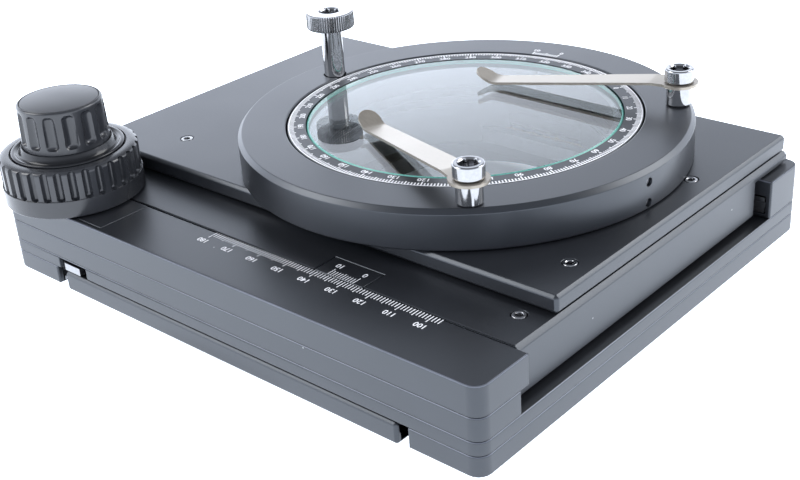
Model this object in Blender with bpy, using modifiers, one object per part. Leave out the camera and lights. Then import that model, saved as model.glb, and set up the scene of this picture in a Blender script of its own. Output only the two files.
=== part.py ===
# Mechanical microscope stage with a rotary glass table.
# A base plate bolts to the stand, a frame travels on it front to back, a slide travels in the frame
# left to right, and the slide carries a ring with a turning dial, two spring clips and a clamp screw.
# Metres, +Z up, +X along the scale, -Y towards the user. The origin is under the middle of the stage.
import math

import bmesh
import bpy
from mathutils import Matrix, Vector

mm = 0.001

# Clearances
seam = 0.3 * mm
shaft_clearance = 0.1 * mm
overrun = 2.0 * mm
weld_distance = 0.001 * mm
smooth_angle = 32

# Frame: four blocks round a web plate
frame_length = 187.5 * mm
frame_depth = 159.0 * mm
corner_radius = 4.0 * mm
side_block_width = 22.5 * mm
side_block_height = 5.95 * mm
web_thickness = 3.8 * mm
rail_block_height = 6.4 * mm
scale_block_depth = 19.2 * mm
scale_block_height = 8.55 * mm
rear_block_depth = 18.6 * mm
rear_block_height = 11.75 * mm
frame_chamfer = 0.35 * mm
foot_drop = 1.1 * mm
web_window_length = 84.0 * mm
web_window_front = 42.0 * mm
web_window_depth = 95.0 * mm
web_window_radius = 18.0 * mm

# Base plate
base_thickness = 6.5 * mm
base_chamfer = 0.8 * mm
base_bore_inset = 8.0 * mm
base_hole_radius = 2.1 * mm
base_hole_inset_x = 17.65 * mm
base_hole_inset_y = 11.5 * mm

# Crossed roller guides
guide_gap = 3.6 * mm
rail_height = 5.0 * mm
rail_depth = 4.0 * mm
rail_end_wall = 2.0 * mm
groove_depth = 1.3 * mm
roller_play = 0.5 * mm
cage_margin = 0.5 * mm
drive_clear_length = 41.0 * mm
cage_height = 4.4 * mm
cage_thickness = 0.9 * mm
rollers_per_cage = 5

# Slide and top plate
slide_trim = 2.0 * mm
slide_right_inset = 3.4 * mm
slide_gap = 0.4 * mm
slide_thickness = 14.0 * mm
slide_flange_reach = 19.9 * mm
slide_flange_thickness = 3.0 * mm
slide_chamfer = 0.3 * mm
slide_end_chamfer = 1.3 * mm
slide_bore_inset = 3.6 * mm
top_plate_inset = 0.6 * mm
top_plate_trim = 0.7 * mm
top_plate_setback = 16.4 * mm
top_plate_depth = 120.0 * mm
top_plate_thickness = 5.2 * mm
top_plate_chamfer = 0.9 * mm
vernier_length = 17.3 * mm
vernier_depth = 8.2 * mm
vernier_thickness = 1.0 * mm
vernier_from_right = 49.8 * mm

# Ring, dial and glass
ring_radius = 68.4 * mm
ring_height = 11.8 * mm
ring_chamfer = 1.3 * mm
ring_wall = 14.5 * mm
ring_share = 0.40693
ring_from_front = 59.2 * mm
ring_flange_height = 3.2 * mm
ring_flange_width = 4.9 * mm
dial_band_width = 5.9 * mm
dial_gap = 0.4 * mm
dial_drop = 0.3 * mm
dial_lip_width = 3.4 * mm
glass_thickness = 4.6 * mm
retainer_overlap = 2.5 * mm
retainer_height = 2.6 * mm
ring_steps = 40
bore_steps = 36
screw_steps = 10
shaft_steps = 12

# Clips, posts and clamp screw
post_inset = 4.6 * mm
post_angles = {"front": -50.0, "rear": 37.5}
clip_angles = {"front": 156.9, "rear": 193.6}
post_radius = 3.3 * mm
post_height = 5.7 * mm
clip_screw_radius = 2.3 * mm
clip_screw_depth = 13.0 * mm
clip_head_radius = 4.35 * mm
clip_head_height = 4.0 * mm
clip_thickness = 0.8 * mm
clip_stop = 4.3 * mm
clip_width = 8.2 * mm
clip_tip_width = 6.4 * mm
clip_eye_radius = 5.6 * mm
clip_flat_reach = 8.0 * mm
clip_tongue_reach = 6.0 * mm
clip_tongue_rise = 3.2 * mm
clamp_inset = 3.3 * mm
clamp_angle = 176.7
clamp_shank_radius = 3.4 * mm
clamp_shank_length = 17.5 * mm
clamp_head_radius = 7.75 * mm
clamp_head_height = 5.3 * mm
clamp_thread_radius = 2.0 * mm
clamp_thread_length = 6.0 * mm
clamp_recess_depth = 1.5 * mm
knurl_count = 24
knurl_depth = 0.45 * mm
set_screw_angle = -5.0
set_screw_radius = 1.0 * mm
set_screw_length = 5.0 * mm
set_screw_heights = {"lower": 1.8 * mm, "upper": 7.9 * mm}

# Small screws in the plates
screw_head_radius = 1.95 * mm
screw_head_height = 2.2 * mm
screw_shank_radius = 1.2 * mm
screw_length = 9.0 * mm
plate_screw_right_inset = 7.5 * mm
plate_screw_left_inset = 28.8 * mm
plate_screw_front_inset = 16.5 * mm
plate_screw_rear_inset = 43.5 * mm
slide_screw_inset_x = 8.9 * mm
slide_screw_inset_y = 12.3 * mm
screw_edge_share = 0.12
socket_depth_share = 0.5
socket_width_share = 0.68

# Coaxial knobs
knob_inset_x = 19.4 * mm
knob_inset_y = 13.8 * mm
knob_clearance = 0.4 * mm
band_radius = 21.2 * mm
band_height = 5.3 * mm
grip_radius = 20.9 * mm
coarse_height = 14.6 * mm
coarse_shoulder = 3.4 * mm
coarse_skirt_depth = 3.9 * mm
coarse_wall = 2.2 * mm
coarse_hub_radius = 6.0 * mm
groove_count = 32
knob_steps = 24
edge_steps = 2
groove_radius = 1.15 * mm
disc_radius = 17.3 * mm
disc_thickness = 2.1 * mm
disc_groove_radius = 14.6 * mm
disc_groove_depth = 0.7 * mm
disc_lip_width = 1.0 * mm
disc_rim_drop = 0.5 * mm
disc_seat_depth = 1.8 * mm
fine_bottom_radius = 13.1 * mm
fine_top_radius = 12.7 * mm
fine_height = 14.4 * mm
fine_flange_height = 2.6 * mm
fine_gap = 0.3 * mm
flute_count = 14
flute_radius = 2.2 * mm
flute_bite = 1.3 * mm
flute_top_margin = 1.2 * mm
fine_edge = 0.5 * mm
cap_radius = 11.7 * mm
cap_seat_depth = 1.6 * mm
cap_floor = 1.1 * mm
cap_dome = 0.6 * mm
dome_shares = (0, 0.35, 0.7, 1)
shaft_radius = 1.8 * mm
sleeve_wall = 0.9 * mm

# Drive: pinions, idler and racks
gear_module = 0.6 * mm
pressure_angle = 20.0
dedendum_share = 1.25
backlash = 0.12 * mm
x_pinion_teeth = 16
x_idler_teeth = 21
y_gear_teeth = 20
gear_thickness = 3.0 * mm
gear_lift = 0.9 * mm
x_rack_teeth = 44
x_rack_left_inset = 1.0 * mm
x_rack_body = 3.0 * mm
y_rack_teeth = 31
y_rack_front_inset = 0.6 * mm
y_rack_width = 8.2 * mm
y_rack_height = 2.4 * mm
y_gear_thickness = 2.6 * mm
rack_groove_roof = 0.6 * mm
rack_groove_length = 76.0 * mm
rack_groove_width = 13.3 * mm
compartment_length = 46.2 * mm
compartment_wall = 1.5 * mm
cover_thickness = 2.0 * mm
bush_radius = 5.2 * mm
bush_flange_radius = 6.6 * mm
bush_flange_height = 0.2 * mm
idler_pin_radius = 1.5 * mm
idler_pin_head_radius = 2.6 * mm
idler_pin_head_height = 0.8 * mm
idler_pin_depth = 4.0 * mm

# Travel from rest: the slide along X in the frame, the frame along Y on the base
x_travel = (-50.0 * mm, 28.0 * mm)
y_travel = (-8.0 * mm, 42.0 * mm)

# Levels, from the table up
web_bottom = foot_drop + side_block_height + seam
web_top = web_bottom + web_thickness
rail_block_bottom = web_top + seam
rail_block_top = rail_block_bottom + rail_block_height
scale_block_bottom = rail_block_top + seam
deck = scale_block_bottom + scale_block_height
knob_bottom = deck + knob_clearance
disc_bottom = knob_bottom + coarse_height - disc_seat_depth + seam
fine_bottom = disc_bottom + disc_thickness + fine_gap
slide_bottom = deck - slide_thickness
top_plate_bottom = deck + seam
top_plate_top = top_plate_bottom + top_plate_thickness
ring_bottom = top_plate_top + seam
ring_top = ring_bottom + ring_height
dial_top = ring_top - dial_drop
post_bottom = ring_top + seam
clip_eye_bottom = post_bottom + post_height + seam
clip_head_bottom = clip_eye_bottom + clip_thickness + seam

# Circles of the ring, from its outside in
ring_bore_radius = ring_radius - ring_wall
dial_radius = ring_bore_radius - dial_gap
glass_radius = dial_radius - dial_band_width
slide_bore_radius = glass_radius - slide_bore_inset
base_bore_radius = slide_bore_radius - base_bore_inset
post_circle_radius = ring_radius - post_inset
clamp_circle_radius = ring_bore_radius + clamp_inset
clip_reach = post_circle_radius - clip_stop

# Places on the plan, with the whole footprint centred on the origin
left_overhang = band_radius - knob_inset_x
front_overhang = band_radius - knob_inset_y
ring_setback = scale_block_depth + slide_gap + top_plate_setback + ring_from_front
frame_right = (frame_length + left_overhang) / 2
frame_left = frame_right - frame_length
frame_front = (front_overhang - ring_setback - ring_radius) / 2
frame_rear = frame_front + frame_depth
knob_x = frame_left + knob_inset_x
knob_y = frame_front + knob_inset_y
idler_x = knob_x + gear_module * (x_pinion_teeth + x_idler_teeth) / 2
x_rack_line = knob_y + gear_module * x_idler_teeth / 2
y_rack_line = knob_x + gear_module * y_gear_teeth / 2
slide_length = frame_length - slide_trim
top_plate_length = slide_length - top_plate_trim
slide_right = frame_right - slide_right_inset
slide_left = slide_right - slide_length
slide_front = frame_front + scale_block_depth + slide_gap
rear_block_front = frame_rear - rear_block_depth
slide_rear = rear_block_front - guide_gap
rail_block_rear = slide_front - guide_gap
top_plate_right = slide_right - top_plate_inset
top_plate_left = top_plate_right - top_plate_length
top_plate_front = slide_front + top_plate_setback
top_plate_rear = top_plate_front + top_plate_depth
ring_x = top_plate_right - ring_share * top_plate_length
ring_y = frame_front + ring_setback
base_left = frame_left + side_block_width + guide_gap
base_right = frame_right - side_block_width - guide_gap
web_window_right = (base_left + base_right + web_window_length) / 2
base_bore_x = ring_x + sum(x_travel) / 2
base_bore_y = ring_y + sum(y_travel) / 2

# Each cage moves half as far as what it carries, and stays between the rails over the whole travel
x_cage_left = frame_left + drive_clear_length - x_travel[0] / 2 + cage_margin
x_cage_right = slide_right - rail_end_wall + x_travel[0] / 2 - cage_margin
y_cage_front = frame_front + rail_end_wall + y_travel[1] / 2 + cage_margin
y_cage_rear = frame_rear - rail_end_wall - y_travel[1] / 2 - cage_margin


def clear_scene():
    for item in list(bpy.data.objects):
        bpy.data.objects.remove(item, do_unlink=True)


def make_collection(name):
    made = bpy.data.collections.new(name)
    bpy.context.scene.collection.children.link(made)
    return made


def make_material(name, colour, roughness, metallic=0.0, transmission=0.0):
    made = bpy.data.materials.new(name)
    made.use_nodes = True
    shader = made.node_tree.nodes["Principled BSDF"]
    shader.inputs["Base Color"].default_value = (*colour, 1.0)
    shader.inputs["Roughness"].default_value = roughness
    shader.inputs["Metallic"].default_value = metallic
    shader.inputs["Transmission Weight"].default_value = transmission
    made.diffuse_color = (*colour, 1.0)
    return made


clear_scene()
stage_parts = make_collection("microscope_stage")
stage_cutters = make_collection("microscope_stage_cutters")
anodised = make_material("black_anodised", (0.035, 0.036, 0.04), 0.42, 0.4)
engraved_plate = make_material("black_scale_plate", (0.03, 0.03, 0.034), 0.36, 0.4)
ground_steel = make_material("ground_steel", (0.62, 0.62, 0.63), 0.25, 1.0)
chrome = make_material("chrome", (0.82, 0.82, 0.83), 0.08, 1.0)
spring_steel = make_material("spring_steel", (0.78, 0.77, 0.74), 0.22, 1.0)
brass = make_material("brass", (0.72, 0.53, 0.24), 0.3, 1.0)
ribbed_plastic = make_material("ribbed_plastic", (0.045, 0.046, 0.05), 0.38)
gloss_plastic = make_material("gloss_plastic", (0.03, 0.031, 0.034), 0.12)
clear_glass = make_material("clear_glass", (0.85, 0.97, 0.94), 0.02, 0.0, 0.9)


# Basic shapes


def circle_points(x, y, radius, steps, start=0.0):
    """Points evenly round a circle, counter-clockwise."""
    turns = [start + 2 * math.pi * step / steps for step in range(steps)]
    return [(x + radius * math.cos(turn), y + radius * math.sin(turn)) for turn in turns]


def rounded_rectangle(left, right, front, rear, radii, steps=5):
    """Outline with its own radius on each corner: front left, front right, rear right, rear left."""
    corners = ((left, front), (right, front), (right, rear), (left, rear))
    inward = ((1, 1), (-1, 1), (-1, -1), (1, -1))
    points = []
    for index, ((x, y), (side_x, side_y), radius) in enumerate(zip(corners, inward, radii)):
        if radius == 0:
            points.append((x, y))
            continue
        for step in range(steps + 1):
            turn = math.pi + math.pi / 2 * (index + step / steps)
            centre_x = x + side_x * radius
            centre_y = y + side_y * radius
            points.append((centre_x + radius * math.cos(turn), centre_y + radius * math.sin(turn)))
    return points


def mesh_object(name, mesh, material, cutter=False):
    made = bpy.data.objects.new(name, mesh)
    (stage_cutters if cutter else stage_parts).objects.link(made)
    if cutter:
        made.hide_render = True
        made.display_type = "WIRE"
    else:
        mesh.materials.append(material)
    return made


def shade(mesh):
    mesh.shade_smooth()
    mesh.set_sharp_from_angle(angle=math.radians(smooth_angle))


def evaluated_mesh(piece):
    """The mesh of a piece with its modifiers applied. The piece itself is removed."""
    graph = bpy.context.evaluated_depsgraph_get()
    mesh = bpy.data.meshes.new_from_object(piece.evaluated_get(graph))
    bpy.data.objects.remove(piece, do_unlink=True)
    return mesh


def flat_mesh(name, outline, thickness, holes=()):
    """A flat outline given a thickness upwards from z 0, from a filled 2D curve."""
    curve = bpy.data.curves.new(name, "CURVE")
    curve.dimensions = "2D"
    curve.fill_mode = "BOTH"
    curve.extrude = thickness / 2
    for loop in (outline, *holes):
        spline = curve.splines.new("POLY")
        spline.points.add(len(loop) - 1)
        for point, (x, y) in zip(spline.points, loop):
            point.co = (x, y, 0, 1)
        spline.use_cyclic_u = True
    guide = bpy.data.objects.new(name + "_guide", curve)
    stage_parts.objects.link(guide)
    mesh = evaluated_mesh(guide)
    mesh.name = name
    mesh.transform(Matrix.Translation((0, 0, thickness / 2)))
    shape = bmesh.new()
    shape.from_mesh(mesh)
    bmesh.ops.remove_doubles(shape, verts=shape.verts, dist=weld_distance)
    bmesh.ops.dissolve_limit(shape, angle_limit=math.radians(1), verts=shape.verts, edges=shape.edges)
    bmesh.ops.recalc_face_normals(shape, faces=shape.faces)
    shape.to_mesh(mesh)
    shape.free()
    shade(mesh)
    return mesh


along_x = Matrix(((0, 0, 1, 0), (1, 0, 0, 0), (0, 1, 0, 0), (0, 0, 0, 1)))
along_y = Matrix(((1, 0, 0, 0), (0, 0, -1, 0), (0, 1, 0, 0), (0, 0, 0, 1)))


def plate(name, outline, bottom, top, material, cutter=False, holes=()):
    """A plate with its outline on the plan."""
    mesh = flat_mesh(name, outline, top - bottom, holes)
    mesh.transform(Matrix.Translation((0, 0, bottom)))
    return mesh_object(name, mesh, material, cutter)


def bar_along_x(name, outline, left, right, material, cutter=False):
    """A bar whose section is given as y and z."""
    mesh = flat_mesh(name, outline, right - left)
    mesh.transform(Matrix.Translation((left, 0, 0)) @ along_x)
    return mesh_object(name, mesh, material, cutter)


def bar_along_y(name, outline, front, rear, material, cutter=False):
    """A bar whose section is given as x and z."""
    mesh = flat_mesh(name, outline, rear - front)
    mesh.transform(Matrix.Translation((0, rear, 0)) @ along_y)
    return mesh_object(name, mesh, material, cutter)


def box_outline(left, right, low, high):
    return [(left, low), (right, low), (right, high), (left, high)]


def cylinders(name, places, steps):
    """One cutter of upright cylinders, each given as x, y, radius, bottom and top."""
    shape = bmesh.new()
    for x, y, radius, bottom, top in places:
        middle = Matrix.Translation((x, y, (bottom + top) / 2))
        bmesh.ops.create_cone(
            shape, cap_ends=True, segments=steps, radius1=radius, radius2=radius,
            depth=top - bottom, matrix=middle,
        )
    mesh = bpy.data.meshes.new(name)
    shape.to_mesh(mesh)
    shape.free()
    return mesh_object(name, mesh, None, cutter=True)


def turned(name, profile, place, steps, material, cutter=False):
    """A turned piece. Its profile, in radius and height, runs down the outer side."""
    mesh = bpy.data.meshes.new(name)
    points = [(radius, 0, height) for radius, height in profile]
    open_profile = profile[0][0] == 0 and profile[-1][0] == 0
    count = len(points)
    ends = count - 1 if open_profile else count
    mesh.from_pydata(points, [(i, (i + 1) % count) for i in range(ends)], [])
    guide = bpy.data.objects.new(name + "_profile", mesh)
    stage_parts.objects.link(guide)
    screw = guide.modifiers.new("turn", "SCREW")
    screw.steps = steps
    screw.render_steps = steps
    screw.use_merge_vertices = True
    screw.merge_threshold = weld_distance
    solid = evaluated_mesh(guide)
    solid.name = name
    shade(solid)
    made = mesh_object(name, solid, material, cutter)
    made.location = place
    return made


def cut(piece, *cutters):
    for cutter in cutters:
        modifier = piece.modifiers.new("cut_" + cutter.name, "BOOLEAN")
        modifier.operation = "DIFFERENCE"
        modifier.solver = "EXACT"
        modifier.object = cutter


def join(piece, *others):
    for other in others:
        modifier = piece.modifiers.new("join_" + other.name, "BOOLEAN")
        modifier.operation = "UNION"
        modifier.solver = "EXACT"
        modifier.object = other


def chamfer(piece, width, segments=1):
    bevel = piece.modifiers.new("edges", "BEVEL")
    bevel.width = width
    bevel.segments = segments
    bevel.limit_method = "ANGLE"
    bevel.angle_limit = math.radians(40)


def carry(name, place, *pieces):
    """An empty on a joint's axis, with the pieces that move about it."""
    holder = bpy.data.objects.new(name, None)
    holder.empty_display_size = corner_radius
    holder.location = place
    stage_parts.objects.link(holder)
    for piece in pieces:
        piece.parent = holder
        piece.matrix_parent_inverse = Matrix.Translation(Vector(place)).inverted()
    return holder


# Gears and racks


def involute(angle):
    return math.tan(angle) - angle


def gear_outline(teeth, start=0.0):
    """Outline of an involute gear with a tooth at the start angle."""
    pitch_radius = gear_module * teeth / 2
    base_radius = pitch_radius * math.cos(math.radians(pressure_angle))
    root_radius = pitch_radius - dedendum_share * gear_module
    tip_radius = pitch_radius + gear_module
    pitch_half = (math.pi * gear_module / 2 - backlash) / 2 / pitch_radius
    widest = pitch_half + involute(math.radians(pressure_angle))
    flank = [(root_radius, widest)]
    for radius in (pitch_radius, tip_radius):
        flank.append((radius, widest - involute(math.acos(base_radius / radius))))
    points = []
    for tooth in range(teeth):
        middle = start + 2 * math.pi * tooth / teeth
        for radius, half in flank:
            points.append((radius * math.cos(middle - half), radius * math.sin(middle - half)))
        for radius, half in reversed(flank):
            points.append((radius * math.cos(middle + half), radius * math.sin(middle + half)))
    return points


def rack_outline(teeth, body):
    """Outline of a rack along +X, teeth down at -Y, pitch line at y 0, first gap centred on x 0."""
    pitch = math.pi * gear_module
    lean = math.tan(math.radians(pressure_angle))
    half = (pitch / 2 - backlash) / 2
    tip_half = half - gear_module * lean
    root = dedendum_share * gear_module
    root_half = half + root * lean
    points = [(0, root)]
    for tooth in range(teeth):
        middle = pitch * (tooth + 0.5)
        points.append((middle - root_half, root))
        points.append((middle - tip_half, -gear_module))
        points.append((middle + tip_half, -gear_module))
        points.append((middle + root_half, root))
    points.append((pitch * teeth, root))
    points.append((pitch * teeth, root + body))
    points.append((0, root + body))
    return points


def gear(name, teeth, x, y, bottom, thickness, bore, material, start=0.0):
    outline = gear_outline(teeth, start)
    mesh = flat_mesh(name, outline, thickness, [circle_points(0, 0, bore, shaft_steps)])
    made = mesh_object(name, mesh, material)
    made.location = (x, y, bottom)
    return made


# Guides: a V grooved rail in each side of a gap, and a cage of crossed rollers between them


def rail_section(face, middle, inward):
    """Section of a rail whose grooved face lies at face, the metal lying on the inward side."""
    back = face + inward * rail_depth
    bottom = middle - rail_height / 2
    top = middle + rail_height / 2
    groove = face + inward * groove_depth
    return [
        (face, bottom), (back, bottom), (back, top), (face, top),
        (face, middle + groove_depth), (groove, middle), (face, middle - groove_depth),
    ]


def rail_seat_section(face, middle, inward):
    """Section of the seat that takes a rail, open through the face."""
    back = face + inward * (rail_depth + seam)
    front = face - inward * overrun
    half = rail_height / 2 + seam
    return box_outline(min(back, front), max(back, front), middle - half, middle + half)


def roller_cage(name, length, place, travel_axis):
    """A strip with crossed rollers, lying along the travel axis."""
    side = (guide_gap + 2 * groove_depth) * math.cos(math.pi / 4) - roller_play
    shape = bmesh.new()
    bmesh.ops.create_cube(shape, size=1)
    stretch = Matrix.Diagonal((length, cage_thickness, cage_height, 1))
    bmesh.ops.transform(shape, matrix=stretch, verts=shape.verts)
    mesh = bpy.data.meshes.new(name)
    shape.to_mesh(mesh)
    shape.free()
    strip = mesh_object(name, mesh, brass)
    shape = bmesh.new()
    pitch = length / rollers_per_cage
    for index in range(rollers_per_cage):
        lean = math.pi / 4 if index % 2 else -math.pi / 4
        seat = Matrix.Translation((pitch * (index + 0.5) - length / 2, 0, 0))
        turn = Matrix.Rotation(lean, 4, "X")
        bmesh.ops.create_cone(
            shape, cap_ends=True, segments=6, radius1=side / 2, radius2=side / 2,
            depth=side, matrix=seat @ turn,
        )
    mesh = bpy.data.meshes.new(name + "_rollers")
    shape.to_mesh(mesh)
    shape.free()
    rollers = mesh_object(name + "_rollers", mesh, None, cutter=True)
    join(strip, rollers)
    turn = 0 if travel_axis == "X" else math.pi / 2
    for made in (strip, rollers):
        made.location = place
        made.rotation_euler = (0, 0, turn)
    return strip


y_guide_z = foot_drop + side_block_height / 2
x_guide_z = (slide_bottom + rail_block_top) / 2


def y_guide(side, base_plate, block):
    """The rails and cage on one side of the base plate. The side is -1 for left and 1 for right."""
    name = "left" if side < 0 else "right"
    base_face = base_left if side < 0 else base_right
    block_face = base_face + side * guide_gap
    front = frame_front + rail_end_wall
    rear = frame_rear - rail_end_wall
    for piece, face, inward in ((base_plate, base_face, -side), (block, block_face, side)):
        seat = bar_along_y(
            f"{piece.name}_{name}_seat", rail_seat_section(face, y_guide_z, inward),
            front - seam, rear + seam, None, cutter=True,
        )
        cut(piece, seat)
    inner = bar_along_y(
        f"base_rail_{name}", rail_section(base_face, y_guide_z, -side), front, rear, ground_steel
    )
    outer = bar_along_y(
        f"frame_rail_{name}", rail_section(block_face, y_guide_z, side), front, rear, ground_steel
    )
    middle = (base_face + side * guide_gap / 2, (y_cage_front + y_cage_rear) / 2, y_guide_z)
    cage = roller_cage(f"y_roller_cage_{name}", y_cage_rear - y_cage_front, middle, "Y")
    return inner, outer, cage


def x_guide(side, slide, block):
    """The rails and cage on one side of the slide. The side is -1 for front and 1 for rear."""
    name = "front" if side < 0 else "rear"
    slide_face = slide_front if side < 0 else slide_rear
    block_face = slide_face + side * guide_gap
    block_start = drive_clear_length if side < 0 else rail_end_wall
    spans = {
        slide: (slide_left + rail_end_wall, slide_right - rail_end_wall),
        block: (frame_left + block_start, frame_right - rail_end_wall),
    }
    for piece, face, inward in ((slide, slide_face, -side), (block, block_face, side)):
        left, right = spans[piece]
        seat = bar_along_x(
            f"{piece.name}_{name}_seat", rail_seat_section(face, x_guide_z, inward),
            left - seam, right + seam, None, cutter=True,
        )
        cut(piece, seat)
    inner = bar_along_x(
        f"slide_rail_{name}", rail_section(slide_face, x_guide_z, -side), *spans[slide], ground_steel
    )
    outer = bar_along_x(
        f"frame_rail_{name}", rail_section(block_face, x_guide_z, side), *spans[block], ground_steel
    )
    middle = ((x_cage_left + x_cage_right) / 2, slide_face + side * guide_gap / 2, x_guide_z)
    cage = roller_cage(f"x_roller_cage_{name}", x_cage_right - x_cage_left, middle, "X")
    return inner, outer, cage


# Fasteners


def socket_screw(name, x, y, top, head_radius, head_height, shank_radius, length, material, steps):
    """A cap screw with a hexagon socket, its head's top at the given level."""
    edge = head_height * screw_edge_share
    profile = [
        (0, 0), (head_radius - edge, 0), (head_radius, -edge), (head_radius, -head_height),
        (shank_radius, -head_height), (shank_radius, -length), (0, -length),
    ]
    screw = turned(name, profile, (x, y, top), steps, material)
    socket_floor = top - head_height * socket_depth_share
    socket = cylinders(
        name + "_socket", [(x, y, head_radius * socket_width_share, socket_floor, top + overrun)], 6)
    cut(screw, socket)
    return screw


# Base


def build_base():
    front_left_right = rounded_rectangle(base_left, base_right, frame_front, frame_rear, (0, 0, 0, 0))
    body = plate("base_plate", front_left_right, 0, base_thickness, anodised)
    chamfer(body, base_chamfer)
    low = -overrun
    high = base_thickness + overrun
    cut(body, cylinders("base_bore", [(base_bore_x, base_bore_y, base_bore_radius, low, high)], bore_steps))
    bolts = [
        (x, y, base_hole_radius, low, high)
        for x in (base_left + base_hole_inset_x, base_right - base_hole_inset_x)
        for y in (frame_front + base_hole_inset_y, frame_rear - base_hole_inset_y)
    ]
    cut(body, cylinders("base_bolt_holes", bolts, screw_steps))
    return body


def build_y_rack():
    """The rack on the base plate's left edge, its teeth facing the pinion under the knobs."""
    outline = rack_outline(y_rack_teeth, y_rack_width - dedendum_share * gear_module)
    pitch = math.pi * gear_module
    gaps_in_front = math.floor((knob_y - frame_front - y_rack_front_inset) / pitch)
    start_y = knob_y - gaps_in_front * pitch
    turned_outline = [(y_rack_line + y, start_y + x) for x, y in outline]
    bottom = base_thickness + seam
    return plate("y_rack", turned_outline, bottom, bottom + y_rack_height, ground_steel)


# Frame


def outer_block(name, left, right, front, rear, bottom, top, rounded, material=anodised):
    radii = [corner_radius if corner in rounded else 0 for corner in ("fl", "fr", "rr", "rl")]
    block = plate(name, rounded_rectangle(left, right, front, rear, radii), bottom, top, material)
    chamfer(block, frame_chamfer)
    return block


def build_web():
    web = outer_block(
        "web_plate", frame_left, frame_right, frame_front, frame_rear, web_bottom, web_top,
        ("fl", "fr", "rr", "rl"),
    )
    window = rounded_rectangle(
        web_window_right - web_window_length, web_window_right, frame_front + web_window_front,
        frame_front + web_window_front + web_window_depth, [web_window_radius] * 4, 4,
    )
    cut(web, plate("web_window", window, web_bottom - overrun, web_top + overrun, None, cutter=True))
    groove_left = y_rack_line - gear_module - seam
    groove = bar_along_y(
        "rack_groove",
        box_outline(
            groove_left, groove_left + rack_groove_width, web_bottom - overrun,
            web_top - rack_groove_roof,
        ),
        frame_front - overrun, frame_front + rack_groove_length, None, cutter=True,
    )
    cut(web, groove)
    gear_room = gear_module * (y_gear_teeth / 2 + 1) + 2 * seam
    cut(web, cylinders("pinion_pocket", [
        (knob_x, knob_y, gear_room, web_bottom - overrun, web_top - rack_groove_roof)], 24))
    cut(web, cylinders("web_shaft_hole", [
        (knob_x, knob_y, shaft_radius + shaft_clearance, web_bottom - overrun, web_top + overrun)],
        shaft_steps))
    return web


def build_front_rail_block():
    block = outer_block(
        "front_rail_block", frame_left, frame_right, frame_front, rail_block_rear,
        rail_block_bottom, rail_block_top, ("fl", "fr"),
    )
    shaft_hole = (knob_x, knob_y, shaft_radius + shaft_clearance)
    idler_hole = (idler_x, knob_y, idler_pin_radius + seam)
    cut(block, cylinders("rail_block_shaft_hole", [
        (*shaft_hole, rail_block_bottom - overrun, rail_block_top + overrun)], shaft_steps))
    cut(block, cylinders("idler_pin_hole", [
        (*idler_hole, rail_block_top - idler_pin_depth - seam, rail_block_top + overrun)], shaft_steps))
    return block


def build_scale_block():
    """The front block with the scale, hollow at its left end for the gears."""
    block = outer_block(
        "scale_block", frame_left, frame_right, frame_front, frame_front + scale_block_depth,
        scale_block_bottom, deck, ("fl", "fr"), engraved_plate,
    )
    room = box_outline(
        frame_left + compartment_wall, frame_left + compartment_wall + compartment_length,
        frame_front + compartment_wall, frame_front + scale_block_depth + overrun,
    )
    cut(block, plate(
        "gear_compartment", room, scale_block_bottom - overrun, deck + overrun, None, cutter=True))
    return block


def build_drive_cover():
    """The lid over the gears, with the hole that holds the knob's bush."""
    outline = box_outline(
        frame_left + compartment_wall + seam, frame_left + compartment_wall + compartment_length - seam,
        frame_front + compartment_wall + seam, frame_front + scale_block_depth,
    )
    cover = plate("drive_cover", outline, deck - cover_thickness, deck, anodised)
    cut(cover, cylinders("bush_hole", [
        (knob_x, knob_y, bush_radius + seam, deck - cover_thickness - overrun, deck + overrun)], 14))
    return cover


def build_bush():
    """A flanged bush that the sleeve of the coarse knob turns in."""
    bore = sleeve_radius() + shaft_clearance
    top = deck + bush_flange_height + shaft_clearance
    height = cover_thickness + bush_flange_height + seam
    flange_bottom = shaft_clearance - bush_flange_height
    profile = [
        (bore, 0), (bush_flange_radius, 0), (bush_flange_radius, flange_bottom),
        (bush_radius, flange_bottom), (bush_radius, -height), (bore, -height),
    ]
    return turned("knob_bush", profile, (knob_x, knob_y, top), 14, brass)


def build_idler_pin():
    gear_top = scale_block_bottom + gear_lift + gear_thickness
    top = gear_top + seam + idler_pin_head_height
    length = top - (rail_block_top - idler_pin_depth)
    profile = [
        (0, 0), (idler_pin_head_radius, 0), (idler_pin_head_radius, -idler_pin_head_height),
        (idler_pin_radius, -idler_pin_head_height), (idler_pin_radius, -length), (0, -length),
    ]
    return turned("idler_pin", profile, (idler_x, knob_y, top), shaft_steps, ground_steel)


# Slide


def slide_section():
    """The slide seen from its end: a thick body and a thin flange over the rear block."""
    return [
        (slide_front, slide_bottom), (slide_rear, slide_bottom),
        (slide_rear, deck - slide_flange_thickness),
        (slide_rear + slide_flange_reach, deck - slide_flange_thickness),
        (slide_rear + slide_flange_reach, deck), (slide_front, deck),
    ]


def plate_screw_places():
    places_x = (top_plate_right - plate_screw_right_inset, top_plate_left + plate_screw_left_inset)
    places_y = (top_plate_front + plate_screw_front_inset, top_plate_rear - plate_screw_rear_inset)
    return [(x, y) for x in places_x for y in places_y]


def slide_screw_places():
    y = slide_front + slide_screw_inset_y
    return [(slide_right - slide_screw_inset_x, y), (slide_left + slide_screw_inset_x, y)]


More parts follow.
